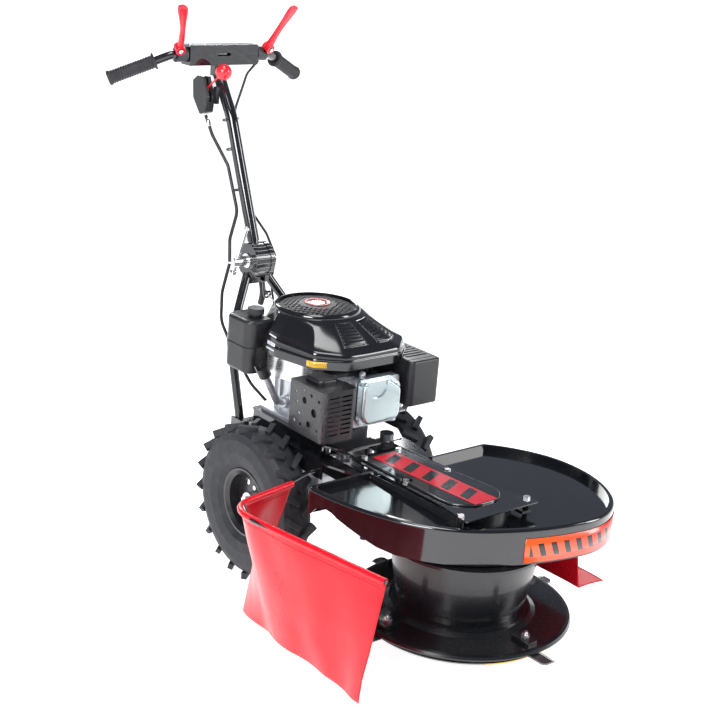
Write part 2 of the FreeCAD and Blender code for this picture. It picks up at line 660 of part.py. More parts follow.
def make_cylinder():
    """Finned barrel and head, lying forwards."""
    low = 336.0
    high = 446.0
    parts = [box(-26, 62, 372, 440, 352, 424)]
    for k in range(7):
        y = 436 - 9 * k
        fin = box(-50, 86, y - 3.2, y, low, 426)
        parts.append(fin)
    head = box(-46, 84, 352, 376, low - 2, high)
    parts.append(soften(head, 8, lambda e: e.BoundBox.YLength > 20))
    plug = rod(V(-12, 370, high - 6), V(-20, 362, high + 14), 7)
    parts.append(plug)
    return join(parts)


def make_valve_cover():
    """Cast cover with an S-shaped step in its face and a bolt at each corner."""
    def plan(inset, y0, y1):
        left = -44 + inset
        right = 82 - inset
        low = 338 + inset
        high = 452 - inset
        points = [V(left + 16, y0, low), V(right, y0, low + 4), V(right, y0, high - 24), V(right - 34, y0, high),
                  V(left, y0, high), V(left, y0, low + 20)]
        wire = Part.Wire(rounded_edges(points, [14, 18, 18, 16, 14, 14], True))
        return Part.Face(wire).extrude(V(0, y1 - y0, 0))

    flange = plan(0, 344, 351.95)
    dome = plan(7, 330, 345)
    dome = soften(dome, 5, lambda e: abs(e.BoundBox.YMax - 330) < 0.1 and e.BoundBox.YLength < 0.1)
    step = cylinder(V(2, 329, 436), 30, 10, Y_AXIS)
    dome = dome.cut(step.cut(cylinder(V(2, 333.5, 436), 30, 10, Y_AXIS)))
    cover = flange.fuse(dome)
    bolts = []
    for x, z in ((-34, 356), (72, 352), (72, 424), (-34, 443)):
        bolts.append(hex_bolt(V(x, 343.95, z), V(0, -1, 0), 6, 5, 2.5, 4))
    return join([cover] + bolts)


def make_muffler():
    can = box(-142, -64, 346, 438, 332, 408)
    can = soften(can, 18, is_upright)
    stub = rod(V(-66, 400, 372), V(-50.05, 400, 372), 12)
    return can.fuse(stub)


def make_muffler_guard():
    """Bent sheet guard with punched left side, louvred front and a hump on top."""
    outer = box(-150, -55, 331, 456, 320, 441)
    outer = soften(outer, 13, lambda e: is_upright(e) and e.BoundBox.YMax < 340)
    inner = box(-148, -57, 333, 458, 322, 439)
    inner = soften(inner, 11, lambda e: is_upright(e) and e.BoundBox.YMax < 340)
    guard = outer.cut(inner).cut(box(-60, -50, 380, 460, 300, 460))
    hump = prism([(-128, 376), (-74, 376), (-74, 440), (-128, 440)], 14, 441, 452)
    hump = soften(hump, 5, lambda e: is_level(e, 452))
    guard = guard.fuse(hump)
    for y, z, r in ((366, 384, 10), (402, 404, 8), (384, 352, 7), (420, 368, 4), (430, 392, 4),
                    (412, 344, 4), (350, 416, 4), (436, 346, 4), (378, 422, 4), (408, 426, 3),
                    (434, 416, 3), (352, 346, 3)):
        guard = guard.cut(cylinder(V(-156, y, z), r, 12, X_AXIS))
    for row in range(9):
        z = 336 + 11 * row
        for x0 in (-134, -99):
            guard = guard.cut(box(x0, x0 + 28, 326, 338, z, z + 4))
    return guard


def make_engine_cover():
    """Top shroud: round at the back, two sloping shoulders at the front."""
    low = 470.0
    high = 546.0
    outline = [(-152, 520), (-128, 410), (-64, 362), (92, 362), (146, 412), (158, 520), (132, 640),
               (60, 702), (-50, 702), (-132, 640)]
    radii = [60, 46, 34, 30, 40, 80, 80, 60, 60, 60]
    body = prism(outline, radii, low, high)
    body = soften(body, 14, lambda e: is_level(e, high))
    slope = box(-220, 220, 200, 500, 0, 80)
    slope.rotate(V(0, 500, 0), X_AXIS, 17)
    slope.translate(V(0, 0, high - 1))
    body = body.cut(slope)
    # room for the fuel tank behind on the left and for the air filter box in front on the right
    body = body.cut(box(-220, -98, 583, 760, 400, 560))
    body = body.cut(box(90, 200, 300, 492, 400, 484))
    dome = cylinder(V(0, ENGINE_Y, 500), 106, 62)
    dome = soften(dome, 9, lambda e: is_level(e, 562))
    cover = body.fuse(dome)
    # thin shell, open below
    inside = prism([(x * 0.965, (y - ENGINE_Y) * 0.965 + ENGINE_Y) for x, y in outline], radii, low - 1, 505)
    cover = cover.cut(inside)
    cover = cover.cut(cylinder(V(0, ENGINE_Y, 480), 96, 74))
    # seat for the round grille
    return cover.cut(cylinder(V(0, ENGINE_Y, 540), 92, 40))


def make_grille():
    """Domed round grille with diagonal bars and a plain oval badge."""
    dome_r = 400.0
    low = 552.0
    plate = cylinder(V(0, ENGINE_Y, low), 91.7, 19)
    ball = Part.makeSphere(dome_r, V(0, ENGINE_Y, low + 19 - dome_r))
    plate = plate.common(ball)
    under = Part.makeSphere(dome_r, V(0, ENGINE_Y, low + 15.5 - dome_r))
    plate = plate.cut(cylinder(V(0, ENGINE_Y, low - 1), 86, 21).common(under))
    slots = []
    for k in range(-7, 8):
        slot = box(-82, 82, k * 11 - 2.6, k * 11 + 2.6, low - 5, low + 30)
        slots.append(slot)
    bars = slots[0].multiFuse(slots[1:])
    bars.rotate(V(0, 0, 0), Z_AXIS, 35)
    bars.translate(V(0, ENGINE_Y, 0))
    field = cylinder(V(0, ENGINE_Y, low - 5), 80, 40)
    field = field.cut(cylinder(V(0, ENGINE_Y, low - 6), 44, 42))
    plate = plate.cut(bars.common(field))
    return plate


def make_air_filter():
    body = box(95, 186, 323, 487, 369, 480)
    body = soften(body, 12, is_upright)
    body = soften(body, 6, lambda e: is_level(e, 480) or is_level(e, 369))
    lid_groove = box(90, 190, 340, 343, 360, 490).cut(box(97.5, 183.5, 330, 350, 371.5, 477.5))
    body = body.cut(lid_groove)
    ribs = [box(112, 172, 362 + 14 * k, 368 + 14 * k, 479, 482) for k in range(7)]
    body = body.cut(box(140, 186.5, 420, 490, 340, 395))
    return join([body] + ribs)


def make_carburettor():
    body = box(88, 118, 372, 430, 340, 368.9)
    bowl = cylinder(V(104, 400, 316), 17, 26)
    stub = cylinder(V(86.05, 396, 356), 11, 6, X_AXIS)
    lever = box(96, 112, 352, 374, 350, 354)
    return join([body, bowl, stub, lever])


def make_fuel_tank():
    body = box(-180, -108, 587, 688, 408, 538)
    body = soften(body, 24, lambda e: is_upright(e) and e.BoundBox.XMin < -150)
    body = soften(body, 9, lambda e: is_level(e, 538) or is_level(e, 408))
    neck = cylinder(V(CAP_X, CAP_Y, 536), 15, 7)
    seam = box(-182, -108, 585, 690, 470, 473)
    seam = soften(seam, 24, lambda e: is_upright(e) and e.BoundBox.XMin < -150)
    return join([body, neck, seam])


def make_fuel_cap():
    cap = cylinder(V(CAP_X, CAP_Y, 543.4), 20, 15)
    cap = soften(cap, 2, lambda e: is_level(e, 558.4))
    for k in range(18):
        angle = 2 * math.pi * k / 18
        groove = V(CAP_X + 20.6 * math.cos(angle), CAP_Y + 20.6 * math.sin(angle), 540)
        cap = cap.cut(cylinder(groove, 1.5, 15))
    return cap


def make_filler_tube():
    return pipe([V(-97.3, 553, 343), V(-118, 549, 350), V(-152, 552, 415)], [0, 14, 0], 9, 2)


def make_dipstick():
    lower = V(-152, 552, 415)
    axis = (lower - V(-118, 549, 350)).normalize()
    cap = cylinder(lower + axis * 0.4, 15, 26, axis)
    grip = cylinder(lower + axis * 26, 6, 14, axis)
    wing = box(-15, 15, -3.5, 3.5, 0, 14)
    wing.Placement = FreeCAD.Placement(lower + axis * 25, FreeCAD.Rotation(Z_AXIS, axis))
    blade = cylinder(lower - axis * 40, 2, 42, axis)
    return join([cap, grip, wing, blade])


def make_crankshaft():
    shaft = cylinder(V(0, ENGINE_Y, 273), 12.5, 237)
    web = cylinder(V(0, ENGINE_Y, 399), 40, 9)
    return shaft.fuse(web)


def make_flywheel():
    hub = cylinder(V(0, ENGINE_Y, 446), 30, 44).cut(cylinder(V(0, ENGINE_Y, 440), 12.5, 60))
    plate = ring(V(0, ENGINE_Y, 446), 92, 29, 8)
    fins = []
    for k in range(16):
        fin = box(50, 90, -2, 2, 453, 480)
        fin.rotate(V(50, 0, 0), Z_AXIS, 25)
        fin.rotate(V(0, 0, 0), Z_AXIS, 22.5 * k)
        fin.translate(V(0, ENGINE_Y, 0))
        fins.append(fin)
    return join([hub, plate] + fins)


def make_engine_pulley():
    pulley = v_pulley(V(0, ENGINE_Y, BELT_Z - 0.5), ENGINE_PULLEY_R, 14)
    return pulley.cut(cylinder(V(0, ENGINE_Y, 260), 12.5, 40))


def make_tensioner_arm():
    arm = box(TENSIONER_X - 7, TENSIONER_X + 7, TENSIONER_Y - 70, TENSIONER_Y, 277, 280.5)
    nose = cylinder(V(TENSIONER_X, TENSIONER_Y - 70, 277), 9, 3.5)
    hub = cylinder(V(TENSIONER_X, TENSIONER_Y, 260.4), 10, 22)
    pin = cylinder(V(TENSIONER_X, TENSIONER_Y - 70, 264), 4, 14)
    body = join([arm, nose, hub, pin])
    return body.cut(cylinder(V(TENSIONER_X, TENSIONER_Y, 250), 5 + RUN_FIT, 60))


def make_tensioner_pulley():
    return ring(V(TENSIONER_X, TENSIONER_Y - 70, 266), 14, 4 + RUN_FIT, 10)


def make_starter_handle():
    grip = pipe([STARTER_AT + V(0, 13, -36), STARTER_AT, STARTER_AT + V(0, 20, 32)], [0, 60, 0], 8)
    neck = rod(STARTER_AT - STARTER_AXIS * 10.5, STARTER_AT, 5.5)
    return grip.fuse(neck)


def make_starter_rope():
    """Rope from the engine's shroud through the eyelet to the handle's neck."""
    return pipe([V(22, 702.6, 508), V(32, 750, 500), STARTER_AT - STARTER_AXIS * 11], [0, 80, 0], 2)


# --------------------------------------------------------------- handle mast
MAST_FOOT = V(0, JOINT_Y + 16, JOINT_Z + 42)
MAST_KNEE = V(0, 958, 940)
MAST_DIRECTION = (MAST_KNEE - MAST_FOOT).normalize()


def make_mast():
    points = [MAST_FOOT, MAST_KNEE, V(0, 1034, 1052)]
    tube = pipe(points, [0, 160, 0], MAST_R, 2.5)
    return tube


def make_joint_upper():
    """Toothed boss at the mast's foot, between the two cheeks."""
    boss = toothed_disc(-15.9, 15.9, JOINT_R - 2, 24)
    neck = rod(MAST_FOOT - MAST_DIRECTION * 22, MAST_FOOT + MAST_DIRECTION * 18, 12.45)
    piece = boss.fuse(neck)
    return piece.cut(cylinder(V(-40, JOINT_Y, JOINT_Z), 8 + RUN_FIT, 80, X_AXIS))


def make_clamp_handle():
    """Through bolt, sleeve, and the sliding tommy bar with a ball end."""
    bolt = cylinder(V(-62, JOINT_Y, JOINT_Z), 8, 104, X_AXIS)
    sleeve = cylinder(V(-70, JOINT_Y, JOINT_Z), 12, 41.6, X_AXIS)
    washer = cylinder(V(-31.4, JOINT_Y, JOINT_Z), 18, 3, X_AXIS)
    nut = hex_bolt(V(32, JOINT_Y, JOINT_Z), X_AXIS, 14, 10, 8, 2)
    top = V(-60, JOINT_Y - 36, JOINT_Z + 90)
    low = V(-60, JOINT_Y + 12, JOINT_Z - 30)
    bar = rod(top, low, 5)
    ball = Part.makeSphere(9, low)
    hook = Part.makeSphere(6.5, top)
    return join([bolt, sleeve, washer, nut, bar, ball, hook])


def make_handlebar():
    left = V(-276, 1081, 1025)
    right = V(276, 1081, 1025)
    bar = pipe([left, V(-142, 1019, 1087), V(142, 1019, 1087), right], [0, 30, 30, 0], BAR_R, 2)
    return bar


def make_cross_plate():
    """Channel across the mast head, with a long slot in its face and a socket for the mast."""
    channel = box(-100, 100, 1000, 1040, 1062, 1111)
    channel = channel.cut(box(-96, 96, 1003, 1050, 1065, 1108))
    slot = box(-22, 18, 996, 1006, 1084, 1092)
    slot = soften(slot, 3.9, lambda e: e.BoundBox.YLength > 9)
    channel = channel.cut(slot)
    socket = box(-20, 20, 1006, 1036, 1034, 1063)
    socket = soften(socket, 6, is_upright)
    channel = channel.fuse(socket)
    channel = channel.cut(rod(V(0, 1003, 1006.3), V(0, 1034, 1052), MAST_R + 0.02))
    channel = channel.cut(cylinder(V(-150, 1019, 1087), BAR_R + 0.02, 300, X_AXIS))
    return channel.removeSplitter()


GRIP_DIRECTION = V(134, 62, -62).normalize()


def make_grips():
    grips = []
    for side in (-1, 1):
        axis = V(side * GRIP_DIRECTION.x, GRIP_DIRECTION.y, GRIP_DIRECTION.z)
        end = V(side * 276, 1081, 1025)
        start = end - axis * 118
        grip = join([rod(start, end + axis * 3, 16), rod(start, start + axis * 4, 21),
                     rod(end - axis * 5, end + axis * 3, 18)])
        grips.append(grip.cut(rod(start - axis * 10, end, BAR_R + 0.02)))
    return Part.makeCompound(grips)


LEVER_PIVOT = V(131, 1001, 1104)
LEVER_DIRECTION = V(19, -55, 98).normalize()
LEVER_AXIS = GRIP_DIRECTION.cross(LEVER_DIRECTION).normalize() * -1


def make_lever_brackets():
    """Split clamps on the bar, each with two ears around a lever's pivot."""
    side = LEVER_AXIS
    clamp = cylinder(V(103, 1019, 1087), 18, 28, X_AXIS)
    neck = rod(V(120, 1019, 1087), LEVER_PIVOT - V(0, -5, 6), 9)
    ears = rod(LEVER_PIVOT - side * 12, LEVER_PIVOT + side * 12, 9)
    gap = rod(LEVER_PIVOT - side * 7.2, LEVER_PIVOT + side * 7.2, 16)
    pin = rod(LEVER_PIVOT - side * 13, LEVER_PIVOT + side * 13, 3)
    bracket = join([clamp, neck, ears])
    bracket = bracket.cut(gap).fuse(pin)
    bracket = bracket.cut(cylinder(V(90, 1019, 1087), BAR_R + 0.02, 60, X_AXIS))
    return Part.makeCompound([bracket, mirrored(bracket)])


def make_lever():
    """Right-hand lever: hub on its pin, long blade, broad rounded tip."""
    tip = LEVER_PIVOT + LEVER_DIRECTION * 126
    side = LEVER_AXIS
    hub = rod(LEVER_PIVOT - side * 7, LEVER_PIVOT + side * 7, 10)
    width = LEVER_DIRECTION.cross(side).normalize()

    def slab(centre, wide, thick, length):
        block = box(-wide / 2, wide / 2, -thick / 2, thick / 2, 0, length)
        matrix = FreeCAD.Matrix(
            width.x, side.x, LEVER_DIRECTION.x, centre.x,
            width.y, side.y, LEVER_DIRECTION.y, centre.y,
            width.z, side.z, LEVER_DIRECTION.z, centre.z,
            0, 0, 0, 1)
        block = soften(block, min(wide, thick) * 0.24, lambda e: e.BoundBox.ZLength > length - 0.1)
        return block.transformGeometry(matrix)

    blade = slab(LEVER_PIVOT, 9, 14, 122)
    paddle = rod(tip - side * 9 - LEVER_DIRECTION * 5, tip + side * 9 - LEVER_DIRECTION * 5, 8)
    lever = join([hub, blade, paddle])
    return lever.cut(rod(LEVER_PIVOT - side * 20, LEVER_PIVOT + side * 20, 3 + RUN_FIT))


THROTTLE_PIVOT = V(-36, 1024, 1000)


def make_throttle_box():
    """Shield-shaped control housing on the left side of the mast."""
    points = [(1046, 1032), (1066, 1018), (1062, 975), (1030, 938), (1006, 946), (1000, 985), (1022, 1032)]
    corners = [V(-48, y, z) for y, z in points]
    wire = Part.Wire(rounded_edges(corners, [5, 6, 14, 6, 6, 8, 5], True))
    body = Part.Face(wire).extrude(V(24, 0, 0))
    body = soften(body, 2, lambda e: abs(e.BoundBox.XMax + 48) < 0.1 and e.BoundBox.XLength < 0.1)
    slot = box(-39.5, -32.5, 980, 1030, 972, 1045)
    body = body.cut(slot).cut(cylinder(THROTTLE_PIVOT + V(-4, 0, 0), 13, 8, X_AXIS))
    pin = cylinder(THROTTLE_PIVOT + V(-8, 0, 0), 3, 16, X_AXIS)
    ear = box(-24.5, -15.02, 994, 1008, 968, 1010)
    ear = ear.cut(rod(V(0, 958, 940), V(0, 1034, 1052), MAST_R + 0.02))
    return join([body, pin, ear])


def make_throttle_lever():
    hub = cylinder(THROTTLE_PIVOT + V(-2.6, 0, 0), 10, 5.2, X_AXIS)
    knob_at = V(-32, 955, 1052)
    stem = rod(THROTTLE_PIVOT, knob_at, 2.5)
    knob = Part.makeSphere(20, knob_at)
    lever = join([hub, stem, knob])
    return lever.cut(cylinder(THROTTLE_PIVOT + V(-20, 0, 0), 3 + RUN_FIT, 40, X_AXIS))


CABLE_R = 4.0
THIN_CABLE_R = 3.0
CABLE_GAP = 2.5                  # half of the gap between cable ends at the tilt joint


def make_upper_cables():
    """Throttle cable on the mast's left side and lever cable on its right side."""
    main = [V(-34, 1022, 936), V(-32, 992, 892), V(-19.4, 936, 826), V(-19.4, 886, 720),
            V(-66, 846, 664), V(-80, JOINT_Y, JOINT_Z + CABLE_GAP)]
    thin = [V(112, 1016, 1068), V(72, 1004, 1040), V(18.4, 974, 952), V(18.4, 880, 720),
            V(44, 846, 668), V(58, JOINT_Y, JOINT_Z + CABLE_GAP)]
    return Part.makeCompound([pipe(main, [0, 40, 50, 50, 40, 0], CABLE_R),
                              pipe(thin, [0, 40, 50, 50, 40, 0], THIN_CABLE_R)])


def make_lower_cables():
    """The same two cables from the tilt joint down to the chassis."""
    main = [V(-80, JOINT_Y, JOINT_Z - CABLE_GAP), V(-98, 822, 540), V(-104, 812, 470), V(-84, 776, 392),
            V(-58, 736, 322), V(-46, 668, 286)]
    thin = [V(58, JOINT_Y, JOINT_Z - CABLE_GAP), V(62, 840, 540), V(72, 820, 440), V(60, 760, 352),
            V(46, 668, 286)]
    return Part.makeCompound([pipe(main, [0, 90, 80, 90, 40, 0], CABLE_R),
                              pipe(thin, [0, 90, 90, 60, 0], THIN_CABLE_R)])


# --------------------------------------------------- curtain, flap and holder
CURTAIN_T = 4.0
ROD_Z = 250.0


def make_curtain_rod():
    points = [V(-134.05, 354, ROD_Z), V(-162, 354, ROD_Z), V(-250, 320, ROD_Z), V(-390, 290, ROD_Z),
              V(-424, 215, ROD_Z), V(-361, -156, ROD_Z)]
    rail = pipe(points, [0, 24, 60, 32, 60, 0], 5)
    return rail


def sheet_outline(points):
    """Closed outline of a sheet of CURTAIN_T thickness along a level polyline."""
    outer = []
    inner = []
    for i, point in enumerate(points):
        before = point - points[i - 1] if i > 0 else points[1] - point
        after = points[i + 1] - point if i < len(points) - 1 else before
        first = V(before.y, -before.x, 0).normalize()
        second = V(after.y, -after.x, 0).normalize()
        normal = (first + second).normalize()
        reach = CURTAIN_T / 2 / normal.dot(first)
        outer.append(point + normal * reach)
        inner.append(point - normal * reach)
    outline = outer + inner[::-1]
    return Part.makePolygon(outline + outline[:1])


def make_curtain():
    """Sheet that hangs from its rod almost to the ground, open towards the wheel."""
    top_z = ROD_Z - 7
    low_z = -48
    top = [V(-240, 316, top_z), V(-388, 288, top_z), V(-412, 268, top_z), V(-421, 226, top_z),
           V(-403, 90, top_z), V(-361, -156, top_z)]
    low = [V(-300, 352, low_z), V(-334, 344, low_z), V(-348, 330, low_z), V(-356, 296, low_z),
           V(-380, 110, low_z), V(-418, -170, low_z)]
    curtain = Part.makeLoft([sheet_outline(top), sheet_outline(low)], True, True)
    # the hem is cut level with the ground
    ground = box(-500, -100, -400, 500, -200, 0)
    ground.rotate(V(0, 0, 0), X_AXIS, -LEAN)
    ground.translate(V(0, 0, -8))
    return curtain.cut(ground)


def make_flap():
    """Side flap under the right of the deck, its front lower corner folded outwards."""
    wall = [V(216, 96, 80), V(216, -150, 80), V(216, -120, 190), V(216, -110, 262), V(216, 96, 262)]
    panel = Part.Face(Part.makePolygon(wall + wall[:1])).extrude(V(CURTAIN_T, 0, 0))
    wing = [V(218, -149, 80), V(297, -154, 80), V(218, -88, 130)]
    corner = Part.Face(Part.makePolygon(wing + wing[:1]))
    return panel.fuse(corner.extrude(V(0, 1, -3).normalize() * 3))


# ------------------------------------------------------------------ assembly
def build_all():
    pieces["deck_shell"] = make_deck()
    pieces["belt_housing"] = make_belt_housing()
    pieces["belt_cover"] = make_belt_cover()
    pieces["cover_bolts"] = make_cover_bolts()
    pieces["spindle_housing"] = make_spindle_housing()
    pieces["chassis"] = join([make_chassis(), make_engine_plate()])
    pieces["gearbox_housing"] = make_gearbox()
    leg = make_leg()
    pieces["handle_legs"] = join([leg, mirrored(leg), make_joint_lower(), make_rope_guide()])
    pieces["crankcase"] = join([make_crankcase(), make_filler_tube()])
    pieces["blower_ring"] = make_blower_ring()
    pieces["cylinder_head"] = make_cylinder()
    pieces["valve_cover"] = make_valve_cover()
    pieces["muffler"] = make_muffler()
    pieces["muffler_guard"] = make_muffler_guard()
    pieces["engine_cover"] = make_engine_cover()
    pieces["cover_grille"] = make_grille()
    pieces["air_filter_box"] = make_air_filter()
    pieces["carburettor"] = make_carburettor()
    pieces["fuel_tank"] = make_fuel_tank()
    pieces["drive_belt"] = make_belt()
    pieces["curtain_rod"] = make_curtain_rod()
    pieces["swath_curtain"] = make_curtain()
    pieces["side_flap"] = make_flap()
    pieces["lower_cables"] = make_lower_cables()
    pieces["starter_rope"] = make_starter_rope()
    tyre = make_tyre()
    rim = make_rim()
    hub = make_hub()
    pieces["tyre_left"] = tyre
    pieces["rim_left"] = rim
    pieces["hub_left"] = hub
    pieces["tyre_right"] = mirrored(tyre)
    pieces["rim_right"] = mirrored(rim)
    pieces["hub_right"] = mirrored(hub)
    pieces["drum_shell"] = make_drum_shell()
    pieces["cutter_disc"] = make_cutter_disc()
    pieces["drum_shaft"] = join([make_drum_shaft(), make_drum_pulley()])
    pieces["blade_bolts"] = make_blade_bolts()
    for index in range(BLADE_COUNT):
        pieces["blade_%d" % (index + 1)] = make_blade(index)
    pieces["skid_plate"] = make_skid_plate()
    pieces["crankshaft"] = make_crankshaft()
    pieces["flywheel"] = make_flywheel()
    pieces["engine_pulley"] = make_engine_pulley()
    pieces["tensioner_arm"] = make_tensioner_arm()
    pieces["tensioner_pulley"] = make_tensioner_pulley()
    pieces["mast_tube"] = make_mast()
    pieces["tilt_joint_upper"] = make_joint_upper()
    pieces["clamp_handle"] = make_clamp_handle()
    pieces["handlebar"] = make_handlebar()
    pieces["cross_plate"] = make_cross_plate()
    pieces["handle_grips"] = make_grips()
    pieces["lever_brackets"] = make_lever_brackets()
    pieces["throttle_box"] = make_throttle_box()
    pieces["upper_cables"] = make_upper_cables()
    lever = make_lever()
    pieces["lever_right"] = lever
    pieces["lever_left"] = mirrored(lever)
    pieces["throttle_lever"] = make_throttle_lever()
    pieces["starter_handle"] = make_starter_handle()
    pieces["fuel_cap"] = make_fuel_cap()
    pieces["dipstick"] = make_dipstick()


def place_on_ground():
    """Lean the machine forward and put its footprint's middle at the origin."""
    for shape in pieces.values():
        shape.rotate(V(0, 0, 0), X_AXIS, LEAN)
    bounds = Part.makeCompound(list(pieces.values())).optimalBoundingBox(True, False)
    shift = V(-(bounds.XMin + bounds.XMax) / 2, -(bounds.YMin + bounds.YMax) / 2, -bounds.ZMin)
    for shape in pieces.values():
        shape.translate(shift)
    print("shift", shift.x, shift.y, shift.z)
    print("size", bounds.XLength, bounds.YLength, bounds.ZLength)


build_all()
place_on_ground()
os.makedirs("parts", exist_ok=True)
for name, shape in pieces.items():
    shape.exportStep(os.path.join("parts", name + ".step"))
print(len(pieces), "nodes")
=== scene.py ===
import bpy
import math
from mathutils import Matrix, Vector, noise


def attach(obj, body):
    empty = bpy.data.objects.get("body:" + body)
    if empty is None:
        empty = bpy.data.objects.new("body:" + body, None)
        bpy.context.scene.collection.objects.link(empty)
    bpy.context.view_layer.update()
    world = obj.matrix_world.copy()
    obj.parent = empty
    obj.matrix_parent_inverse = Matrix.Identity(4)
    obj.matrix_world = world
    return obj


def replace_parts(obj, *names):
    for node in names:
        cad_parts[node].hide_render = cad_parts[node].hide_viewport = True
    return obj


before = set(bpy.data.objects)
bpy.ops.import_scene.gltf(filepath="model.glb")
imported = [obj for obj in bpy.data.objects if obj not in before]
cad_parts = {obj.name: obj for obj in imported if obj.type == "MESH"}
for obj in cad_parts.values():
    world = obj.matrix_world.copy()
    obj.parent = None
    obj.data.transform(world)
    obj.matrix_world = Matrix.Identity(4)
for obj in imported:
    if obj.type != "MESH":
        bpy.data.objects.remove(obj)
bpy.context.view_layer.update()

# ------------------------------------------------------------------ placing
# Pieces are laid out in the machine's own level frame, in millimetres, and are
# leant forward and moved onto the ground like the CAD nodes.
LEAN = math.radians(5.27)
SHIFT = Vector((0.033915, -0.359289, 0.014519))
ENGINE_Y = 568                       # crankshaft axis behind the drum axis


def turn(v):
    cosine, sine = math.cos(LEAN), math.sin(LEAN)
    return Vector((v[0], v[1] * cosine - v[2] * sine, v[1] * sine + v[2] * cosine))


def at(x, y, z):
    return turn(Vector((x, y, z)) * 0.001) + SHIFT


# ---------------------------------------------------------------- materials
def new_material(name):
    mat = bpy.data.materials.new(name)
    mat.use_nodes = True
    tree = mat.node_tree
    tree.nodes.clear()
    out = tree.nodes.new("ShaderNodeOutputMaterial")
    shader = tree.nodes.new("ShaderNodeBsdfPrincipled")
    tree.links.new(shader.outputs[0], out.inputs[0])
    return mat, tree, shader


def add(tree, kind, **values):
    node = tree.nodes.new(kind)
    for key, value in values.items():
        if hasattr(node, key):
            setattr(node, key, value)
        else:
            node.inputs[key.replace("_", " ")].default_value = value
    return node


def noise_tex(tree, coords, scale, detail=4.0, rough=0.55, stretch=None):
    node = add(tree, "ShaderNodeTexNoise", Scale=scale, Detail=detail, Roughness=rough)
    source = coords
    if stretch:
        mapping = add(tree, "ShaderNodeMapping")
        mapping.inputs["Scale"].default_value = stretch
        tree.links.new(coords, mapping.inputs[0])
        source = mapping.outputs[0]
    tree.links.new(source, node.inputs["Vector"])
    return node.outputs[0]


def ramp(tree, value, stops):
    node = add(tree, "ShaderNodeValToRGB")
    elements = node.color_ramp.elements
    while len(elements) < len(stops):
        elements.new(0.5)
    for element, (place, shade) in zip(elements, stops):
        element.position = place
        element.color = (shade, shade, shade, 1) if isinstance(shade, (int, float)) else (*shade, 1)
    tree.links.new(value, node.inputs[0])
    return node.outputs[0]


def mix(tree, factor, first, second, blend="MIX"):
    node = add(tree, "ShaderNodeMix", data_type="RGBA", blend_type=blend)
    for socket, value in ((node.inputs[0], factor), (node.inputs[6], first), (node.inputs[7], second)):
        if isinstance(value, bpy.types.NodeSocket):
            tree.links.new(value, socket)
        elif isinstance(value, (int, float)):
            socket.default_value = value
        else:
            socket.default_value = (*value, 1)
    return node.outputs[2]


def math_node(tree, operation, first, second=0.0):
    node = add(tree, "ShaderNodeMath", operation=operation)
    for socket, value in zip(node.inputs, (first, second)):
        if isinstance(value, bpy.types.NodeSocket):
            tree.links.new(value, socket)
        else:
            socket.default_value = value
    return node.outputs[0]


def bump(tree, shader, height, strength, distance, chain=None):
    node = add(tree, "ShaderNodeBump", Strength=strength, Distance=distance)
    tree.links.new(height, node.inputs["Height"])
    if chain is not None:
        tree.links.new(chain, node.inputs["Normal"])
    tree.links.new(node.outputs[0], shader.inputs["Normal"])
    return node.outputs[0]


def object_coords(tree):
    return add(tree, "ShaderNodeTexCoord").outputs["Object"]


def edge_wear(tree, low=0.53, high=0.6):
    geometry = add(tree, "ShaderNodeNewGeometry")
    return ramp(tree, geometry.outputs["Pointiness"], [(low, 0.0), (high, 1.0)])


def coated(name, colour, rough, coat=0.5, worn=(0.16, 0.16, 0.17), wear=0.5, peel=0.03, dust=0.12, metal=0.0):
    """Paint or moulded gloss: orange peel, faint scuffs, rubbed edges, a little dust."""
    mat, tree, shader = new_material(name)
    coords = object_coords(tree)
    patches = noise_tex(tree, coords, 9.0, 5.0)
    fine = noise_tex(tree, coords, 420.0, 2.0)
    scuffs = noise_tex(tree, coords, 60.0, 8.0, 0.7, (1.0, 7.0, 2.0))
    tint = mix(tree, patches, [c * 0.82 for c in colour], [min(1.0, c * 1.2 + 0.002) for c in colour])
    dusty = math_node(tree, "MULTIPLY",
                      ramp(tree, noise_tex(tree, coords, 24.0, 7.0), [(0.5, 0.0), (0.78, 1.0)]), dust)
    tint = mix(tree, dusty, tint, (0.42, 0.41, 0.4))
    rubbed = math_node(tree, "MULTIPLY", edge_wear(tree), wear)
    rubbed = math_node(tree, "MULTIPLY", rubbed, ramp(tree, scuffs, [(0.42, 0.0), (0.62, 1.0)]))
    tree.links.new(mix(tree, rubbed, tint, worn), shader.inputs["Base Color"])
    roughness = math_node(tree, "ADD", math_node(tree, "MULTIPLY", patches, 0.14), rough - 0.06)
    roughness = math_node(tree, "ADD", roughness, math_node(tree, "MULTIPLY", ramp(tree, scuffs,
                                                                                   [(0.6, 0.0),
                                                                                    (0.75, 1.0)]), 0.12))
    tree.links.new(roughness, shader.inputs["Roughness"])
    shader.inputs["Metallic"].default_value = metal
    shader.inputs["Coat Weight"].default_value = coat
    shader.inputs["Coat Roughness"].default_value = 0.08
    bump(tree, shader, fine, peel, 0.0004)
    return mat


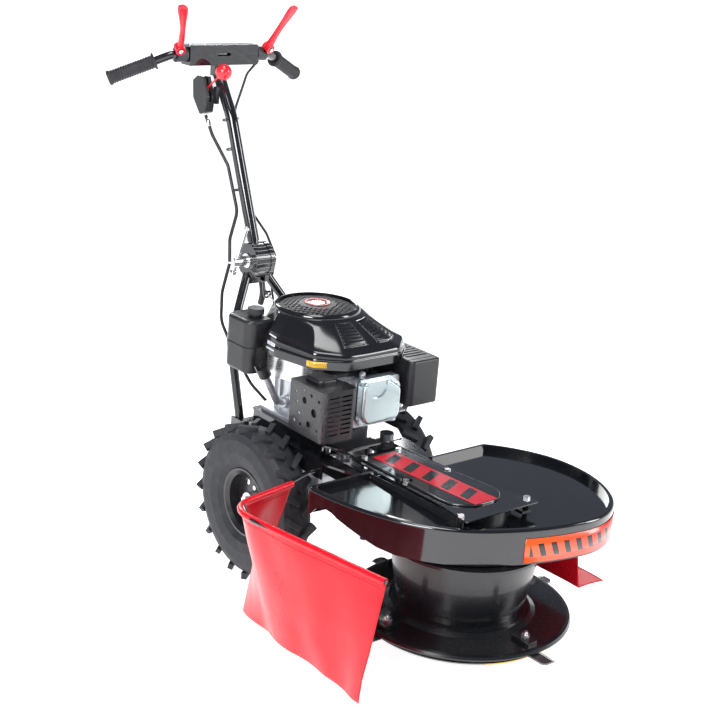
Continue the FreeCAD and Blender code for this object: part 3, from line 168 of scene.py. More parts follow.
def metal(name, colour, rough, stretch=(1, 1, 1), grain=0.15, cast=0.0, stain=(0.3, 0.27, 0.22)):
    """Bare or plated metal: brushed or cast grain, stains, uneven polish."""
    mat, tree, shader = new_material(name)
    coords = object_coords(tree)
    patches = noise_tex(tree, coords, 14.0, 6.0)
    lines = noise_tex(tree, coords, 130.0, 5.0, 0.65, stretch)
    tint = mix(tree, patches, [c * 0.8 for c in colour], [min(1.0, c * 1.12) for c in colour])
    stains = math_node(tree, "MULTIPLY",
                       ramp(tree, noise_tex(tree, coords, 33.0, 8.0), [(0.58, 0.0), (0.8, 1.0)]), 0.4)
    tree.links.new(mix(tree, stains, tint, stain), shader.inputs["Base Color"])
    shader.inputs["Metallic"].default_value = 0.92
    roughness = math_node(tree, "ADD", math_node(tree, "MULTIPLY", lines, grain), rough - grain / 2)
    tree.links.new(roughness, shader.inputs["Roughness"])
    first = bump(tree, shader, lines, 0.06, 0.0006)
    if cast:
        bump(tree, shader, noise_tex(tree, coords, 620.0, 3.0), cast, 0.0008, first)
    return mat


def rubbery(name, colour, rough, grain_scale, strength, dust=0.25):
    mat, tree, shader = new_material(name)
    coords = object_coords(tree)
    patches = noise_tex(tree, coords, 16.0, 6.0)
    grain = noise_tex(tree, coords, grain_scale, 6.0, 0.6)
    tint = mix(tree, patches, [c * 0.75 for c in colour], [min(1.0, c * 1.35) for c in colour])
    chalk = math_node(tree, "MULTIPLY",
                      ramp(tree, noise_tex(tree, coords, 40.0, 8.0), [(0.45, 0.0), (0.8, 1.0)]), dust)
    tree.links.new(mix(tree, chalk, tint, (0.2, 0.2, 0.21)), shader.inputs["Base Color"])
    tree.links.new(math_node(tree, "ADD", math_node(tree, "MULTIPLY", grain, 0.25), rough - 0.12),
                   shader.inputs["Roughness"])
    bump(tree, shader, grain, strength, 0.001)
    return mat


def tarpaulin(name):
    """Glossy coated fabric: a fine woven backing shows through as a print."""
    mat, tree, shader = new_material(name)
    coords = object_coords(tree)
    patches = noise_tex(tree, coords, 7.0, 5.0)
    across = add(tree, "ShaderNodeTexWave", wave_type="BANDS", bands_direction="Z", Scale=230.0,
                 Distortion=0.4)
    along = add(tree, "ShaderNodeTexWave", wave_type="BANDS", bands_direction="Y", Scale=230.0,
                Distortion=0.4)
    tree.links.new(coords, across.inputs["Vector"])
    tree.links.new(coords, along.inputs["Vector"])
    weave = math_node(tree, "MULTIPLY", across.outputs[1], along.outputs[1])
    tint = mix(tree, patches, (0.58, 0.0006, 0.008), (0.7, 0.002, 0.016))
    scuff = math_node(tree, "MULTIPLY",
                      ramp(tree, noise_tex(tree, coords, 55.0, 8.0), [(0.62, 0.0), (0.85, 1.0)]), 0.16)
    tree.links.new(mix(tree, scuff, tint, (0.9, 0.12, 0.16)), shader.inputs["Base Color"])
    tree.links.new(math_node(tree, "ADD", math_node(tree, "MULTIPLY", patches, 0.2), 0.2),
                   shader.inputs["Roughness"])
    shader.inputs["Coat Weight"].default_value = 0.2
    shader.inputs["Coat Roughness"].default_value = 0.2
    shader.inputs["Specular IOR Level"].default_value = 0.3
    shader.inputs["Sheen Weight"].default_value = 0.04
    shader.inputs["Subsurface Weight"].default_value = 0.03
    shader.inputs["Subsurface Radius"].default_value = (0.01, 0.003, 0.002)
    first = bump(tree, shader, weave, 0.12, 0.0005)
    bump(tree, shader, noise_tex(tree, coords, 38.0, 5.0), 0.16, 0.003, first)
    return mat


def printed(name, ground, ink, period, slant, rough=0.3, border=None):
    """Vinyl decal: plain diagonal blocks across a coloured ground, in the piece's UV space (metres)."""
    mat, tree, shader = new_material(name)
    uv = add(tree, "ShaderNodeTexCoord").outputs["UV"]
    split = add(tree, "ShaderNodeSeparateXYZ")
    tree.links.new(uv, split.inputs[0])
    along = math_node(tree, "ADD", split.outputs[0], math_node(tree, "MULTIPLY", split.outputs[1], slant))
    wave = math_node(tree, "FRACT", math_node(tree, "DIVIDE", along, period))
    block = math_node(tree, "MULTIPLY", math_node(tree, "GREATER_THAN", wave, 0.42),
                      math_node(tree, "LESS_THAN", wave, 0.86))
    middle = math_node(tree, "MULTIPLY", math_node(tree, "GREATER_THAN", split.outputs[1], ink[1]),
                       math_node(tree, "LESS_THAN", split.outputs[1], ink[2]))
    limit = math_node(tree, "MULTIPLY", math_node(tree, "GREATER_THAN", split.outputs[0], ink[3]),
                      math_node(tree, "LESS_THAN", split.outputs[0], ink[4]))
    mask = math_node(tree, "MULTIPLY", math_node(tree, "MULTIPLY", block, middle), limit)
    coords = object_coords(tree)
    patches = noise_tex(tree, coords, 30.0, 5.0)
    base = mix(tree, ramp(tree, split.outputs[0], [(ground[2], 0.0), (ground[3], 1.0)]), ground[0], ground[1])
    base = mix(tree, math_node(tree, "MULTIPLY", patches, 0.25), base, [c * 0.7 for c in ground[0]])
    tree.links.new(mix(tree, mask, base, ink[0]), shader.inputs["Base Color"])
    tree.links.new(math_node(tree, "ADD", math_node(tree, "MULTIPLY", patches, 0.12), rough - 0.05),
                   shader.inputs["Roughness"])
    shader.inputs["Coat Weight"].default_value = 0.6
    shader.inputs["Coat Roughness"].default_value = 0.1
    bump(tree, shader, noise_tex(tree, coords, 240.0, 2.0), 0.04, 0.0004)
    return mat


ENAMEL = coated("black_gloss_enamel", (0.0035, 0.0038, 0.0055), 0.1, 0.85, wear=0.12, peel=0.012, dust=0.006)
DRUM_PAINT = coated("drum_semi_gloss", (0.005, 0.0054, 0.007), 0.24, 0.35, wear=0.04, peel=0.012, dust=0.004)
SHROUD = coated("shroud_gloss_plastic", (0.0035, 0.0037, 0.005), 0.12, 0.6, wear=0.05, peel=0.012, dust=0.006)
PLASTIC = coated("black_moulded_plastic", (0.007, 0.0075, 0.0095), 0.36, 0.1, wear=0.08, peel=0.15, dust=0.03)
GREY_PLASTIC = coated("grey_moulded_plastic", (0.02, 0.021, 0.026), 0.45, 0.0, wear=0.1, peel=0.25, dust=0.04)
GUARD = coated("guard_satin_enamel", (0.006, 0.006, 0.008), 0.3, 0.2, wear=0.3, peel=0.06, dust=0.03)
RED = coated("red_moulded_plastic", (0.62, 0.004, 0.02), 0.28, 0.4, worn=(0.8, 0.2, 0.22), wear=0.3,
             peel=0.05, dust=0.05)
YELLOW = coated("yellow_line_paint", (0.85, 0.52, 0.05), 0.4, 0.2, wear=0.6, peel=0.1, dust=0.2)
ZINC = metal("zinc_plate", (0.72, 0.73, 0.74), 0.26, (1, 1, 6), 0.15)
BRIGHT = metal("bright_nickel", (0.8, 0.8, 0.8), 0.16, (1, 6, 1), 0.1, stain=(0.5, 0.48, 0.45))
CAST = metal("cast_alloy", (0.62, 0.64, 0.68), 0.42, (1, 1, 1), 0.2, cast=0.25)
BLUE_ZINC = metal("blue_passivated_zinc", (0.62, 0.72, 0.74), 0.24, (2, 1, 5), 0.14, cast=0.04)
DARK_STEEL = metal("dark_steel", (0.2, 0.2, 0.22), 0.4, (4, 1, 1), 0.2)
TYRE = rubbery("tyre_rubber", (0.011, 0.012, 0.016), 0.6, 260.0, 0.18, 0.1)
RUBBER = rubbery("grip_rubber", (0.009, 0.009, 0.012), 0.5, 500.0, 0.25, 0.06)
CABLE = rubbery("cable_jacket", (0.007, 0.007, 0.009), 0.35, 300.0, 0.05, 0.04)
BELT = rubbery("belt_rubber", (0.03, 0.03, 0.03), 0.7, 350.0, 0.3, 0.3)
ROPE = rubbery("braided_rope", (0.45, 0.45, 0.42), 0.8, 700.0, 0.6, 0.1)
TARP = tarpaulin("red_coated_tarpaulin")

GRILLE = coated("grille_matt_plastic", (0.006, 0.006, 0.008), 0.55, 0.0, wear=0.05, peel=0.1, dust=0.02)

NODE_MATERIALS = {
    GRILLE: ["cover_grille"],
    ENAMEL: ["deck_shell", "belt_cover", "chassis", "handle_legs", "mast_tube", "handlebar",
             "cross_plate", "tilt_joint_upper"],
    DRUM_PAINT: ["drum_shell", "cutter_disc", "skid_plate", "curtain_rod"],
    SHROUD: ["engine_cover"],
    PLASTIC: ["air_filter_box", "fuel_tank", "throttle_box", "starter_handle", "dipstick", "belt_housing"],
    GREY_PLASTIC: ["lever_brackets", "fuel_cap"],
    GUARD: ["muffler_guard"],
    RED: ["lever_right", "lever_left", "throttle_lever"],
    ZINC: ["cover_bolts", "blower_ring", "hub_left", "hub_right", "blade_bolts", "tensioner_arm"],
    BRIGHT: ["clamp_handle"],
    BLUE_ZINC: ["valve_cover"],
    CAST: ["crankcase", "cylinder_head", "carburettor", "gearbox_housing", "flywheel"],
    DARK_STEEL: ["muffler", "drum_shaft", "crankshaft", "engine_pulley", "tensioner_pulley",
                 "spindle_housing",
                 "blade_1", "blade_2", "blade_3", "blade_4"],
    GREY_PLASTIC: ["lever_brackets", "fuel_cap"],
    TYRE: ["tyre_left", "tyre_right"],
    RUBBER: ["handle_grips"],
    CABLE: ["upper_cables", "lower_cables"],
    BELT: ["drive_belt"],
    ROPE: ["starter_rope"],
    TARP: ["swath_curtain", "side_flap"],
}
NODE_MATERIALS[GUARD] = NODE_MATERIALS[GUARD] + ["rim_left", "rim_right"]
for material, names in NODE_MATERIALS.items():
    for name in names:
        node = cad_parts[name]
        node.data.materials.clear()
        node.data.materials.append(material)


# ------------------------------------------------------------------- pieces
def mesh_piece(name, vertices, faces, material, body, uvs=None, smooth=True):
    mesh = bpy.data.meshes.new(name)
    mesh.from_pydata([tuple(v) for v in vertices], [], faces)
    if uvs:
        layer = mesh.uv_layers.new(name="plan")
        for loop in mesh.loops:
            layer.data[loop.index].uv = uvs[loop.vertex_index]
    mesh.materials.append(material)
    if smooth:
        mesh.polygons.foreach_set("use_smooth", [True] * len(mesh.polygons))
    mesh.update()
    piece = bpy.data.objects.new(name, mesh)
    bpy.context.scene.collection.objects.link(piece)
    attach(piece, body)
    return piece


def thick_strip(name, left, right, offset, thickness, material, body, smooth=True):
    """Strip between two rows of points, raised along its own normals; UV runs in metres."""
    vertices = []
    uvs = []
    count = len(left)
    run = 0.0
    for i in range(count):
        if i:
            run += (left[i] - left[i - 1]).length
        ahead = left[min(i + 1, count - 1)] - left[max(i - 1, 0)]
        normal = ahead.cross(right[i] - left[i]).normalized() * offset[0]
        width = (right[i] - left[i]).length
        for lift in (offset[1], offset[1] + thickness):
            vertices += [left[i] + normal * lift, right[i] + normal * lift]
            uvs += [(run, 0.0), (run, width)]
    faces = []
    for i in range(count - 1):
        a = 4 * i
        b = 4 * (i + 1)
        faces += [(a + 2, b + 2, b + 3, a + 3), (a, a + 1, b + 1, b), (a, b, b + 2, a + 2),
                  (a + 1, a + 3, b + 3, b + 1)]
    faces += [(0, 2, 3, 1), (4 * count - 4, 4 * count - 3, 4 * count - 1, 4 * count - 2)]
    return mesh_piece(name, vertices, faces, material, body, uvs, smooth)


def arc_through(a, b, c, count):
    """Points on the circle through three plan points, from a to c."""
    ax, ay = a
    bx, by = b
    cx, cy = c
    d = 2 * (ax * (by - cy) + bx * (cy - ay) + cx * (ay - by))
    a_square, b_square, c_square = ax * ax + ay * ay, bx * bx + by * by, cx * cx + cy * cy
    ux = (a_square * (by - cy) + b_square * (cy - ay) + c_square * (ay - by)) / d
    uy = (a_square * (cx - bx) + b_square * (ax - cx) + c_square * (bx - ax)) / d
    radius = math.hypot(ax - ux, ay - uy)
    start = math.atan2(ay - uy, ax - ux)
    middle = math.atan2(by - uy, bx - ux)
    end = math.atan2(cy - uy, cx - ux)
    while middle < start:
        middle += 2 * math.pi
    while end < middle:
        end += 2 * math.pi
    return [(ux + radius * math.cos(start + (end - start) * i / count),
             uy + radius * math.sin(start + (end - start) * i / count))
            for i in range(count + 1)]


# ---- deck decal along the front right of the skirt
skirt = [p for p in arc_through((-52, -148), (45, -187), (145, -207), 60) if p[0] > 1]
skirt += arc_through((145, -207), (238, -192), (308, -134), 40)[1:39]
DECAL = printed("deck_decal", ((0.95, 0.1, 0.012), (0.8, 0.008, 0.03), 0.05, 0.3),
                ((0.012, 0.008, 0.008), 0.013, 0.042, 0.012, 0.322), 0.031, 0.35)
thick_strip("deck_decal", [at(x, y, 207) for x, y in skirt],
            [at(x, y, 262) for x, y in skirt], (1, 0.0009), 0.0005,
            DECAL, "frame")


def cover_z(y):
    return 286.0 - 0.044 * (y - 138.0) + 4.0


# ---- belt cover decal: a long band along the raised part
COVER_DECAL = printed("cover_decal", ((0.62, 0.002, 0.016), (0.72, 0.008, 0.03), 0.0, 0.4),
                      ((0.006, 0.006, 0.008), 0.007, 0.059, 0.02, 0.34), 0.062, -0.45, 0.18)
rows = [-98 + 386 * i / 24 for i in range(25)]
rows = [y for y in rows if y > -50]
thick_strip("cover_decal", [at(-33, y, cover_z(y)) for y in rows],
            [at(33, y, cover_z(y)) for y in rows], (-1, 0.0004), 0.0004,
            COVER_DECAL, "frame", False)

# ---- points on a circle round the skid plate's rim
ring = [(228 * math.cos(a), 228 * math.sin(a)) for a in [math.radians(-62 - 56 * i / 40) for i in range(41)]]

# --------------------------------------------------------------- the curtain
def lerp(a, b, t):
    return a + (b - a) * t


TOP = [(-236, 317), (-310, 302), (-380, 289), (-404, 275),
       (-417, 252), (-421, 226), (-412, 158), (-395, 50), (-378, -60), (-361, -156)]
LOW = [(-298, 352), (-322, 349), (-338, 341), (-347, 330),
       (-352, 312), (-357, 290), (-366, 214), (-382, 96), (-400, -40), (-418, -170)]


def along(points, t):
    lengths = [0.0]
    for p, q in zip(points, points[1:]):
        lengths.append(lengths[-1] + math.dist(p, q))
    place = t * lengths[-1]
    for i in range(len(points) - 1):
        if place <= lengths[i + 1] or i == len(points) - 2:
            u = (place - lengths[i]) / (lengths[i + 1] - lengths[i])
            return (lerp(points[i][0], points[i + 1][0], u), lerp(points[i][1], points[i + 1][1], u))


def smooth_line(points, rounds):
    for _ in range(rounds):
        fresh = [points[0]]
        for p, q in zip(points, points[1:]):
            fresh.append((lerp(p[0], q[0], 0.25), lerp(p[1], q[1], 0.25)))
            fresh.append((lerp(p[0], q[0], 0.75), lerp(p[1], q[1], 0.75)))
        fresh.append(points[-1])
        points = fresh
    return points


TOP_LINE = smooth_line(TOP, 2)
LOW_LINE = smooth_line(LOW, 2)
ROD_Z = 250.0


def ground_z(y):
    return (-12.75 - 0.09185 * y) / 0.99577


def curtain_point(s, t):
    """s runs along the hem from the rear to the front end, t from the hem to the ground."""
    top = along(TOP_LINE, s)
    low = along(LOW_LINE, s)
    z_top = ROD_Z - 4
    z_low = ground_z(low[1]) + 7
    x = lerp(top[0], low[0], t)
    y = lerp(top[1], low[1], t)
    z = lerp(z_top, z_low, t)
    tx = along(TOP_LINE, min(1, s + 0.01))
    ux = along(TOP_LINE, max(0, s - 0.01))
    nx, ny = (tx[1] - ux[1]), -(tx[0] - ux[0])
    size = math.hypot(nx, ny) or 1.0
    nx, ny = nx / size, ny / size
    waves = 6.4 * math.sin(11.0 * s + 2.2 * t + 0.6) * (0.2 + 0.8 * t)
    waves += 3.2 * math.sin(23.0 * s - 3.0 * t) * t
    waves += 2.4 * noise.noise((s * 9.0, t * 4.0, 0.3))
    front = max(0.0, (s - 0.86) / 0.14)
    curl = 10.0 * front * front * max(0.0, (t - 0.8) / 0.2)
    waves = 9.0 * math.tanh(waves / 9.0)
    return x + nx * waves + 0.6 * curl, y + ny * waves, z


def make_curtain():
    columns = 150
    levels = 60
    vertices = []
    for j in range(levels + 1):
        for i in range(columns + 1):
            vertices.append(at(*curtain_point(i / columns, j / levels)))
    faces = []
    for j in range(levels):
        for i in range(columns):
            a = j * (columns + 1) + i
            faces.append((a, a + columns + 1, a + columns + 2, a + 1))
    piece = mesh_piece("curtain_sheet", vertices, faces, TARP, "frame")
    solid = piece.modifiers.new("cloth", "SOLIDIFY")
    solid.thickness = 0.0012
    solid.offset = 0
    return piece


curtain = make_curtain()
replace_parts(curtain, "swath_curtain")


def hem_tube():
    """The hem folds over the rod as a soft sleeve, with a stitched seam under it."""
    vertices = []
    faces = []
    columns = 150
    around = 14
    for i in range(columns + 1):
        s = i / columns
        x, y = along(TOP_LINE, s)
        tx = along(TOP_LINE, min(1, s + 0.01))
        ux = along(TOP_LINE, max(0, s - 0.01))
        nx, ny = (tx[1] - ux[1]), -(tx[0] - ux[0])
        size = math.hypot(nx, ny)
        nx, ny = nx / size, ny / size
        for k in range(around):
            angle = 2 * math.pi * k / around
            swell = 1.0 + 0.06 * noise.noise((s * 40, k * 0.7, 1.0))
            out = 7.6 * swell * math.cos(angle)
            lift = 7.4 * swell * math.sin(angle)
            drop = 0.0
            if math.sin(angle) < -0.5:
                out *= 0.35
                drop = -6.0 * (-math.sin(angle) - 0.5)
            vertices.append(at(x + nx * out, y + ny * out, ROD_Z + lift + drop))
    for i in range(columns):
        for k in range(around):
            a = i * around + k
            b = i * around + (k + 1) % around
            faces.append((a, b, b + around, a + around))
    return mesh_piece("curtain_hem", vertices, faces, TARP, "frame")


hem = hem_tube()
THREAD = rubbery("stitch_thread", (0.35, 0.01, 0.03), 0.7, 900.0, 0.4, 0.0)


def stitches(name, level, shade):
    """Row of short thread stitches on both faces of the curtain."""
    vertices = []
    faces = []
    count = 88
    for i in range(count):
        for sgn in (-1, 1):
            s0 = (i + 0.18) / count
            s1 = (i + 0.82) / count
            p0 = Vector(curtain_point(s0, level))
            p1 = Vector(curtain_point(s1, level))
            run = (p1 - p0).normalized()
            side = Vector((run.y, -run.x, 0)).normalized() * sgn
            up = Vector((0, 0, 1))
            base = len(vertices)
            for p, lift in ((p0, 0.9), (lerp(p0, p1, 0.5), 1.5), (p1, 0.9)):
                for w in (-0.55, 0.55):
                    vertices.append(at(*(p + side * lift + up * w)))
                vertices.append(at(*(p + side * (lift + 0.5))))
            for k in range(2):
                a = base + 3 * k
                faces += [(a, a + 3, a + 5, a + 2), (a + 2, a + 5, a + 4, a + 1), (a + 1, a + 4, a + 3, a)]
    return mesh_piece(name, vertices, faces, shade, "frame")


seam = stitches("curtain_stitches", 0.055, THREAD)

# ------------------------------------------------------------------ the flap
def flap_sheet():
    columns = 50
    levels = 30
    vertices = []
    for j in range(levels + 1):
        for i in range(columns + 1):
            u = i / columns
            v = j / levels
            y = lerp(94, lerp(-112, -148, v), u)
            z = lerp(260, 82, v)
            x = 218 + 1.2 * math.sin(7 * u + 2 * v) * v
            vertices.append(at(x, y, z))
    faces = []
    for j in range(levels):
        for i in range(columns):
            a = j * (columns + 1) + i
            faces.append((a, a + columns + 1, a + columns + 2, a + 1))
    base = len(vertices)
    corner = [(218, -148, 82), (218, -92, 130), (295, -153, 82)]
    rows_n = 14
    index = {}
    for j in range(rows_n + 1):
        for i in range(rows_n + 1 - j):
            a = i / rows_n
            b = j / rows_n
            c = 1 - a - b
            p = Vector(corner[0]) * c + Vector(corner[1]) * a + Vector(corner[2]) * b
            p.z += 2.0 * math.sin(math.pi * b) * (1 - a)
            index[(i, j)] = len(vertices)
            vertices.append(at(*p))
    for j in range(rows_n):
        for i in range(rows_n - j):
            faces.append((index[(i, j)], index[(i + 1, j)], index[(i, j + 1)]))
            if i + j < rows_n - 1:
                faces.append((index[(i + 1, j)], index[(i + 1, j + 1)], index[(i, j + 1)]))
    piece = mesh_piece("flap_sheet", vertices, faces, TARP, "frame")
    solid = piece.modifiers.new("cloth", "SOLIDIFY")
    solid.thickness = 0.0016
    solid.offset = 0
    return piece


flap = flap_sheet()
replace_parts(flap, "side_flap")

# ------------------------------------------------------- small real details
def lathe(name, origin, axis, profile, material, body, around=32):
    """Turned piece: profile pairs are (radius, height along the axis), millimetres."""
    axis = Vector(axis).normalized()
    side = axis.orthogonal().normalized()
    other = axis.cross(side)
    vertices = []
    faces = []
    for r, h in profile:
        for k in range(around):
            a = 2 * math.pi * k / around
            p = Vector(origin) + axis * h + side * (r * math.cos(a)) + other * (r * math.sin(a))
            vertices.append(at(*p))
    for j in range(len(profile) - 1):
        for k in range(around):
            a = j * around + k
            b = j * around + (k + 1) % around
            faces.append((a, b, b + around, a + around))
    faces.append(tuple(range(around))[::-1])
    faces.append(tuple((len(profile) - 1) * around + k for k in range(around)))
    return mesh_piece(name, vertices, faces, material, body)


def finish_shading(piece, angle=35):
    """Crisp edges where faces meet sharply, smooth everywhere else."""
    split = piece.modifiers.new("crisp", "EDGE_SPLIT")
    split.split_angle = math.radians(angle)


def screw(name, place, axis, radius, material, body):
    piece = lathe(name, place, axis, [(radius * 0.55, -1.0), (radius, 0.0), (radius, 1.4),
                                      (radius * 0.82, 2.3), (radius * 0.4, 2.6),
                                      (radius * 0.34, 1.6)], material, body, 20)
    finish_shading(piece, 40)
    return piece


def label(name, corners, material, body, thickness=0.35):
    """Flat sticker with its own UV in metres; corners run round it."""
    a, b, c, d = [at(*p) for p in corners]
    normal = (b - a).cross(d - a).normalized() * thickness * 0.001
    wide = (b - a).length
    tall = (d - a).length
    vertices = [a, b, c, d, a + normal, b + normal, c + normal, d + normal]
    uvs = [(0, 0), (wide, 0), (wide, tall), (0, tall)] * 2
    faces = [(0, 3, 2, 1), (4, 5, 6, 7), (0, 1, 5, 4), (1, 2, 6, 5), (2, 3, 7, 6), (3, 0, 4, 7)]
    return mesh_piece(name, vertices, faces, material, body, uvs, False)


BADGE_RED = coated("badge_ring_enamel", (0.5, 0.02, 0.03), 0.3, 0.4, wear=0.3, peel=0.03)
lathe("badge_ring", (0, ENGINE_Y, 569.6), (0, 0, 1), [(24, 0), (30, 0.2), (31, 1.4), (29.5, 2.4), (25, 2.4),
                                                 (24.5, 1.0)],
      BADGE_RED, "frame", 48)
lathe("badge_plate", (0, ENGINE_Y, 569.6), (0, 0, 1), [(6, 0.2), (24.4, 0.4), (24.2, 1.5), (14, 1.9), (5, 2.2)],
      BRIGHT, "frame", 48)

CAUTION = printed("caution_label", ((0.95, 0.5, 0.03), (0.95, 0.55, 0.05), 0.0, 0.1),
                  ((0.02, 0.02, 0.02), 0.004, 0.011, 0.006, 0.052), 0.0045, 0.5)
PAPER = printed("white_label", ((0.75, 0.78, 0.82), (0.8, 0.82, 0.86), 0.0, 0.1),
                ((0.2, 0.22, 0.26), 0.012, 0.028, 0.004, 0.03), 0.0052, 0.0)

# ---- ties that hold the cables to the mast
for number, (y, z) in enumerate(((900, 772), (940, 866), (962, 935))):
    vertices = []
    faces = []
    axis = Vector((0, 0.393, 0.9195))
    back = Vector((0, 0.9195, -0.393))
    outline = []
    for k in range(40):
        a = 2 * math.pi * k / 40
        wide = 21.5
        outline.append(Vector((wide * math.cos(a), 0, 0)) + back * (16.0 * math.sin(a)))
    for lift, grow in ((-1.6, 1.0), (-1.6, 1.03), (1.6, 1.03), (1.6, 1.0)):
        for p in outline:
            vertices.append(at(*(Vector((0, y, z)) + p * grow + axis * lift)))
    for j in range(4):
        for k in range(40):
            a = j * 40 + k
            b = j * 40 + (k + 1) % 40
            c = ((j + 1) % 4) * 40 + (k + 1) % 40
            d = ((j + 1) % 4) * 40 + k
            faces.append((a, b, c, d))
    mesh_piece("cable_tie_%d" % number, vertices, faces, CABLE, "mast")

# ---- ferrule on the throttle cable
lathe("throttle_ferrule", (-33.2, 1010, 918.5), (-2, 30, 44), [(5.2, -9), (6.2, -8), (6.2, 6), (5.0, 8),
                                                               (4.4, 13)],
      BRIGHT, "mast", 24)


# ---------------------------------------------------------- red hand levers
GRIP = Vector((134, 62, -62)).normalized()
LEVER_PIVOT = Vector((131, 1001, 1104))
LEVER = Vector((19, -55, 98)).normalized()
LEVER_AXIS = LEVER.cross(GRIP).normalized()
LEVER_WIDE = LEVER.cross(LEVER_AXIS).normalized()


def lever_piece(name, side, body):
    """Forged-look lever: ringed hub, ribbed blade, broad curled tip, short wing over the grip."""
    vertices = []
    faces = []
    around = 28

    def put(p):
        vertices.append(at(side * p.x, p.y, p.z))

    stations = [(-11, 4, 4), (-9, 7.5, 7), (-5, 10, 9), (6, 10.5, 9.5), (16, 8.6, 8.5),
                (34, 8.2, 7.4), (60, 7.6, 6.8), (88, 9.4, 6.8),
                (106, 12.4, 6.8), (118, 13.0, 6.4), (124, 10.6, 5.4), (127, 4.5, 3.0)]
    for height, wide, deep in stations:
        lean = 0.00075 * max(0, height) ** 2
        centre = LEVER_PIVOT + LEVER * height + LEVER_WIDE * (-lean)
        rib = 1.0 if 24 < height < 110 else 0.0
        for k in range(around):
            a = 2 * math.pi * k / around
            c = math.copysign(abs(math.cos(a)) ** 0.55, math.cos(a))
            d = math.copysign(abs(math.sin(a)) ** 0.55, math.sin(a))
            pinch = 1 - 0.3 * rib * (1 - min(1.0, abs(c) * 1.5))
            reach = wide * c * (0.62 if c < 0 and height < 75 else 1.0)
            put(centre + LEVER_WIDE * reach + LEVER_AXIS * (deep * d * pinch))
    for j in range(len(stations) - 1):
        for k in range(around):
            a = j * around + k
            b = j * around + (k + 1) % around
            faces.append((a, b, b + around, a + around))
    faces.append(tuple(range(around))[::-1])
    faces.append(tuple((len(stations) - 1) * around + k for k in range(around)))
    # ringed hub
    base = len(vertices)
    rings = [(5, -12), (11.2, -12), (12.2, -10.8), (12.2, -6), (10.8, -5),
             (10.8, 5), (12.2, 6), (12.2, 10.8), (11.2, 12), (5, 12)]
    for r, h in rings:
        for k in range(around):
            a = 2 * math.pi * k / around
            put(LEVER_PIVOT + LEVER_AXIS * h + LEVER * (r * math.cos(a)) + LEVER_WIDE * (r * math.sin(a)))
    for j in range(len(rings) - 1):
        for k in range(around):
            a = base + j * around + k
            b = base + j * around + (k + 1) % around
            faces.append((a, b, b + around, a + around))
    faces.append(tuple(base + k for k in range(around))[::-1])
    faces.append(tuple(base + (len(rings) - 1) * around + k for k in range(around)))
    # wing that lies over the grip's inner end
    base = len(vertices)
    wing = [(0, 5, 4.5), (5, 4.6, 4.0), (9, 3.6, 3.0), (11, 1.6, 1.4)]
    out = (GRIP + LEVER * 0.1).normalized()
    for reach, wide, deep in wing:
        for k in range(around):
            a = 2 * math.pi * k / around
            put(LEVER_PIVOT + out * reach + LEVER_AXIS * (wide * math.cos(a))
                + LEVER * (deep * math.sin(a) - 3))
    for j in range(len(wing) - 1):
        for k in range(around):
            a = base + j * around + k
            b = base + j * around + (k + 1) % around
            faces.append((a, b, b + around, a + around))
    faces.append(tuple(base + (len(wing) - 1) * around + k for k in range(around)))
    if side < 0:
        faces = [face[::-1] for face in faces]
    piece = mesh_piece(name, vertices, faces, RED, body)
    finish_shading(piece, 38)
    return piece


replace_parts(lever_piece("hand_lever_right", 1, "right_lever"), "lever_right")
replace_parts(lever_piece("hand_lever_left", -1, "left_lever"), "lever_left")
for number, side in enumerate((-1, 1)):
    for end in (-1, 1):
        spot = LEVER_PIVOT + LEVER_AXIS * (12.3 * end)
        screw("lever_screw_%d_%d" % (number, end + 1), (side * spot.x, spot.y, spot.z),
              (side * LEVER_AXIS.x * end, LEVER_AXIS.y * end, LEVER_AXIS.z * end), 5.5, BRIGHT, "mast")

# -------------------------------------------------------------- rubber grips
for side in (-1, 1):
    axis = Vector((side * GRIP.x, GRIP.y, GRIP.z))
    end = Vector((side * 276, 1081, 1025))
    profile = [(11.4, -118), (20.5, -118), (21, -116.5), (20.5, -114.5), (16.5, -113)]
    rib = -109
    while rib < -12:
        profile += [(15.2, rib), (16.4, rib + 0.8), (16.6, rib + 2.6), (16.4, rib + 4.2), (15.2, rib + 5.0)]
        rib += 6.4
    profile += [(16, -7), (17.8, -5), (18.2, -1), (17.4, 2), (12, 3), (3, 3)]
    sleeve = lathe("grip_%s" % ("left" if side < 0 else "right"), end, axis, profile, RUBBER, "mast", 40)
    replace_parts(sleeve, "handle_grips")

# ------------------------------------------------------------ engine shroud
SHROUD_PLAN = [(-152, 520), (-128, 410), (-64, 362), (92, 362), (146, 412),
               (158, 520), (132, 640), (60, 702), (-50, 702), (-104, 655),
               (-104, 586), (-146, 582)]


def plan_reach(angle):
    """Distance from the crankshaft axis to the shroud's outline in one direction."""
    dx, dy = math.cos(angle), math.sin(angle)
    best = 300.0
    count = len(SHROUD_PLAN)
    for i in range(count):
        x0, y0 = SHROUD_PLAN[i][0], SHROUD_PLAN[i][1] - ENGINE_Y
        x1, y1 = SHROUD_PLAN[(i + 1) % count][0], SHROUD_PLAN[(i + 1) % count][1] - ENGINE_Y
        ex, ey = x1 - x0, y1 - y0
        cross = dx * ey - dy * ex
        if abs(cross) < 1e-9:
            continue
        t = (x0 * ey - y0 * ex) / cross
        u = (x0 * dy - y0 * dx) / cross
        if t > 0 and -1e-6 <= u <= 1 + 1e-6:
            best = min(best, t)
    return best


REACH = [plan_reach(2 * math.pi * k / 240) for k in range(240)]
for _ in range(3):
    REACH = [(REACH[k - 1] + 2 * REACH[k] + REACH[(k + 1) % 240]) / 4 for k in range(240)]


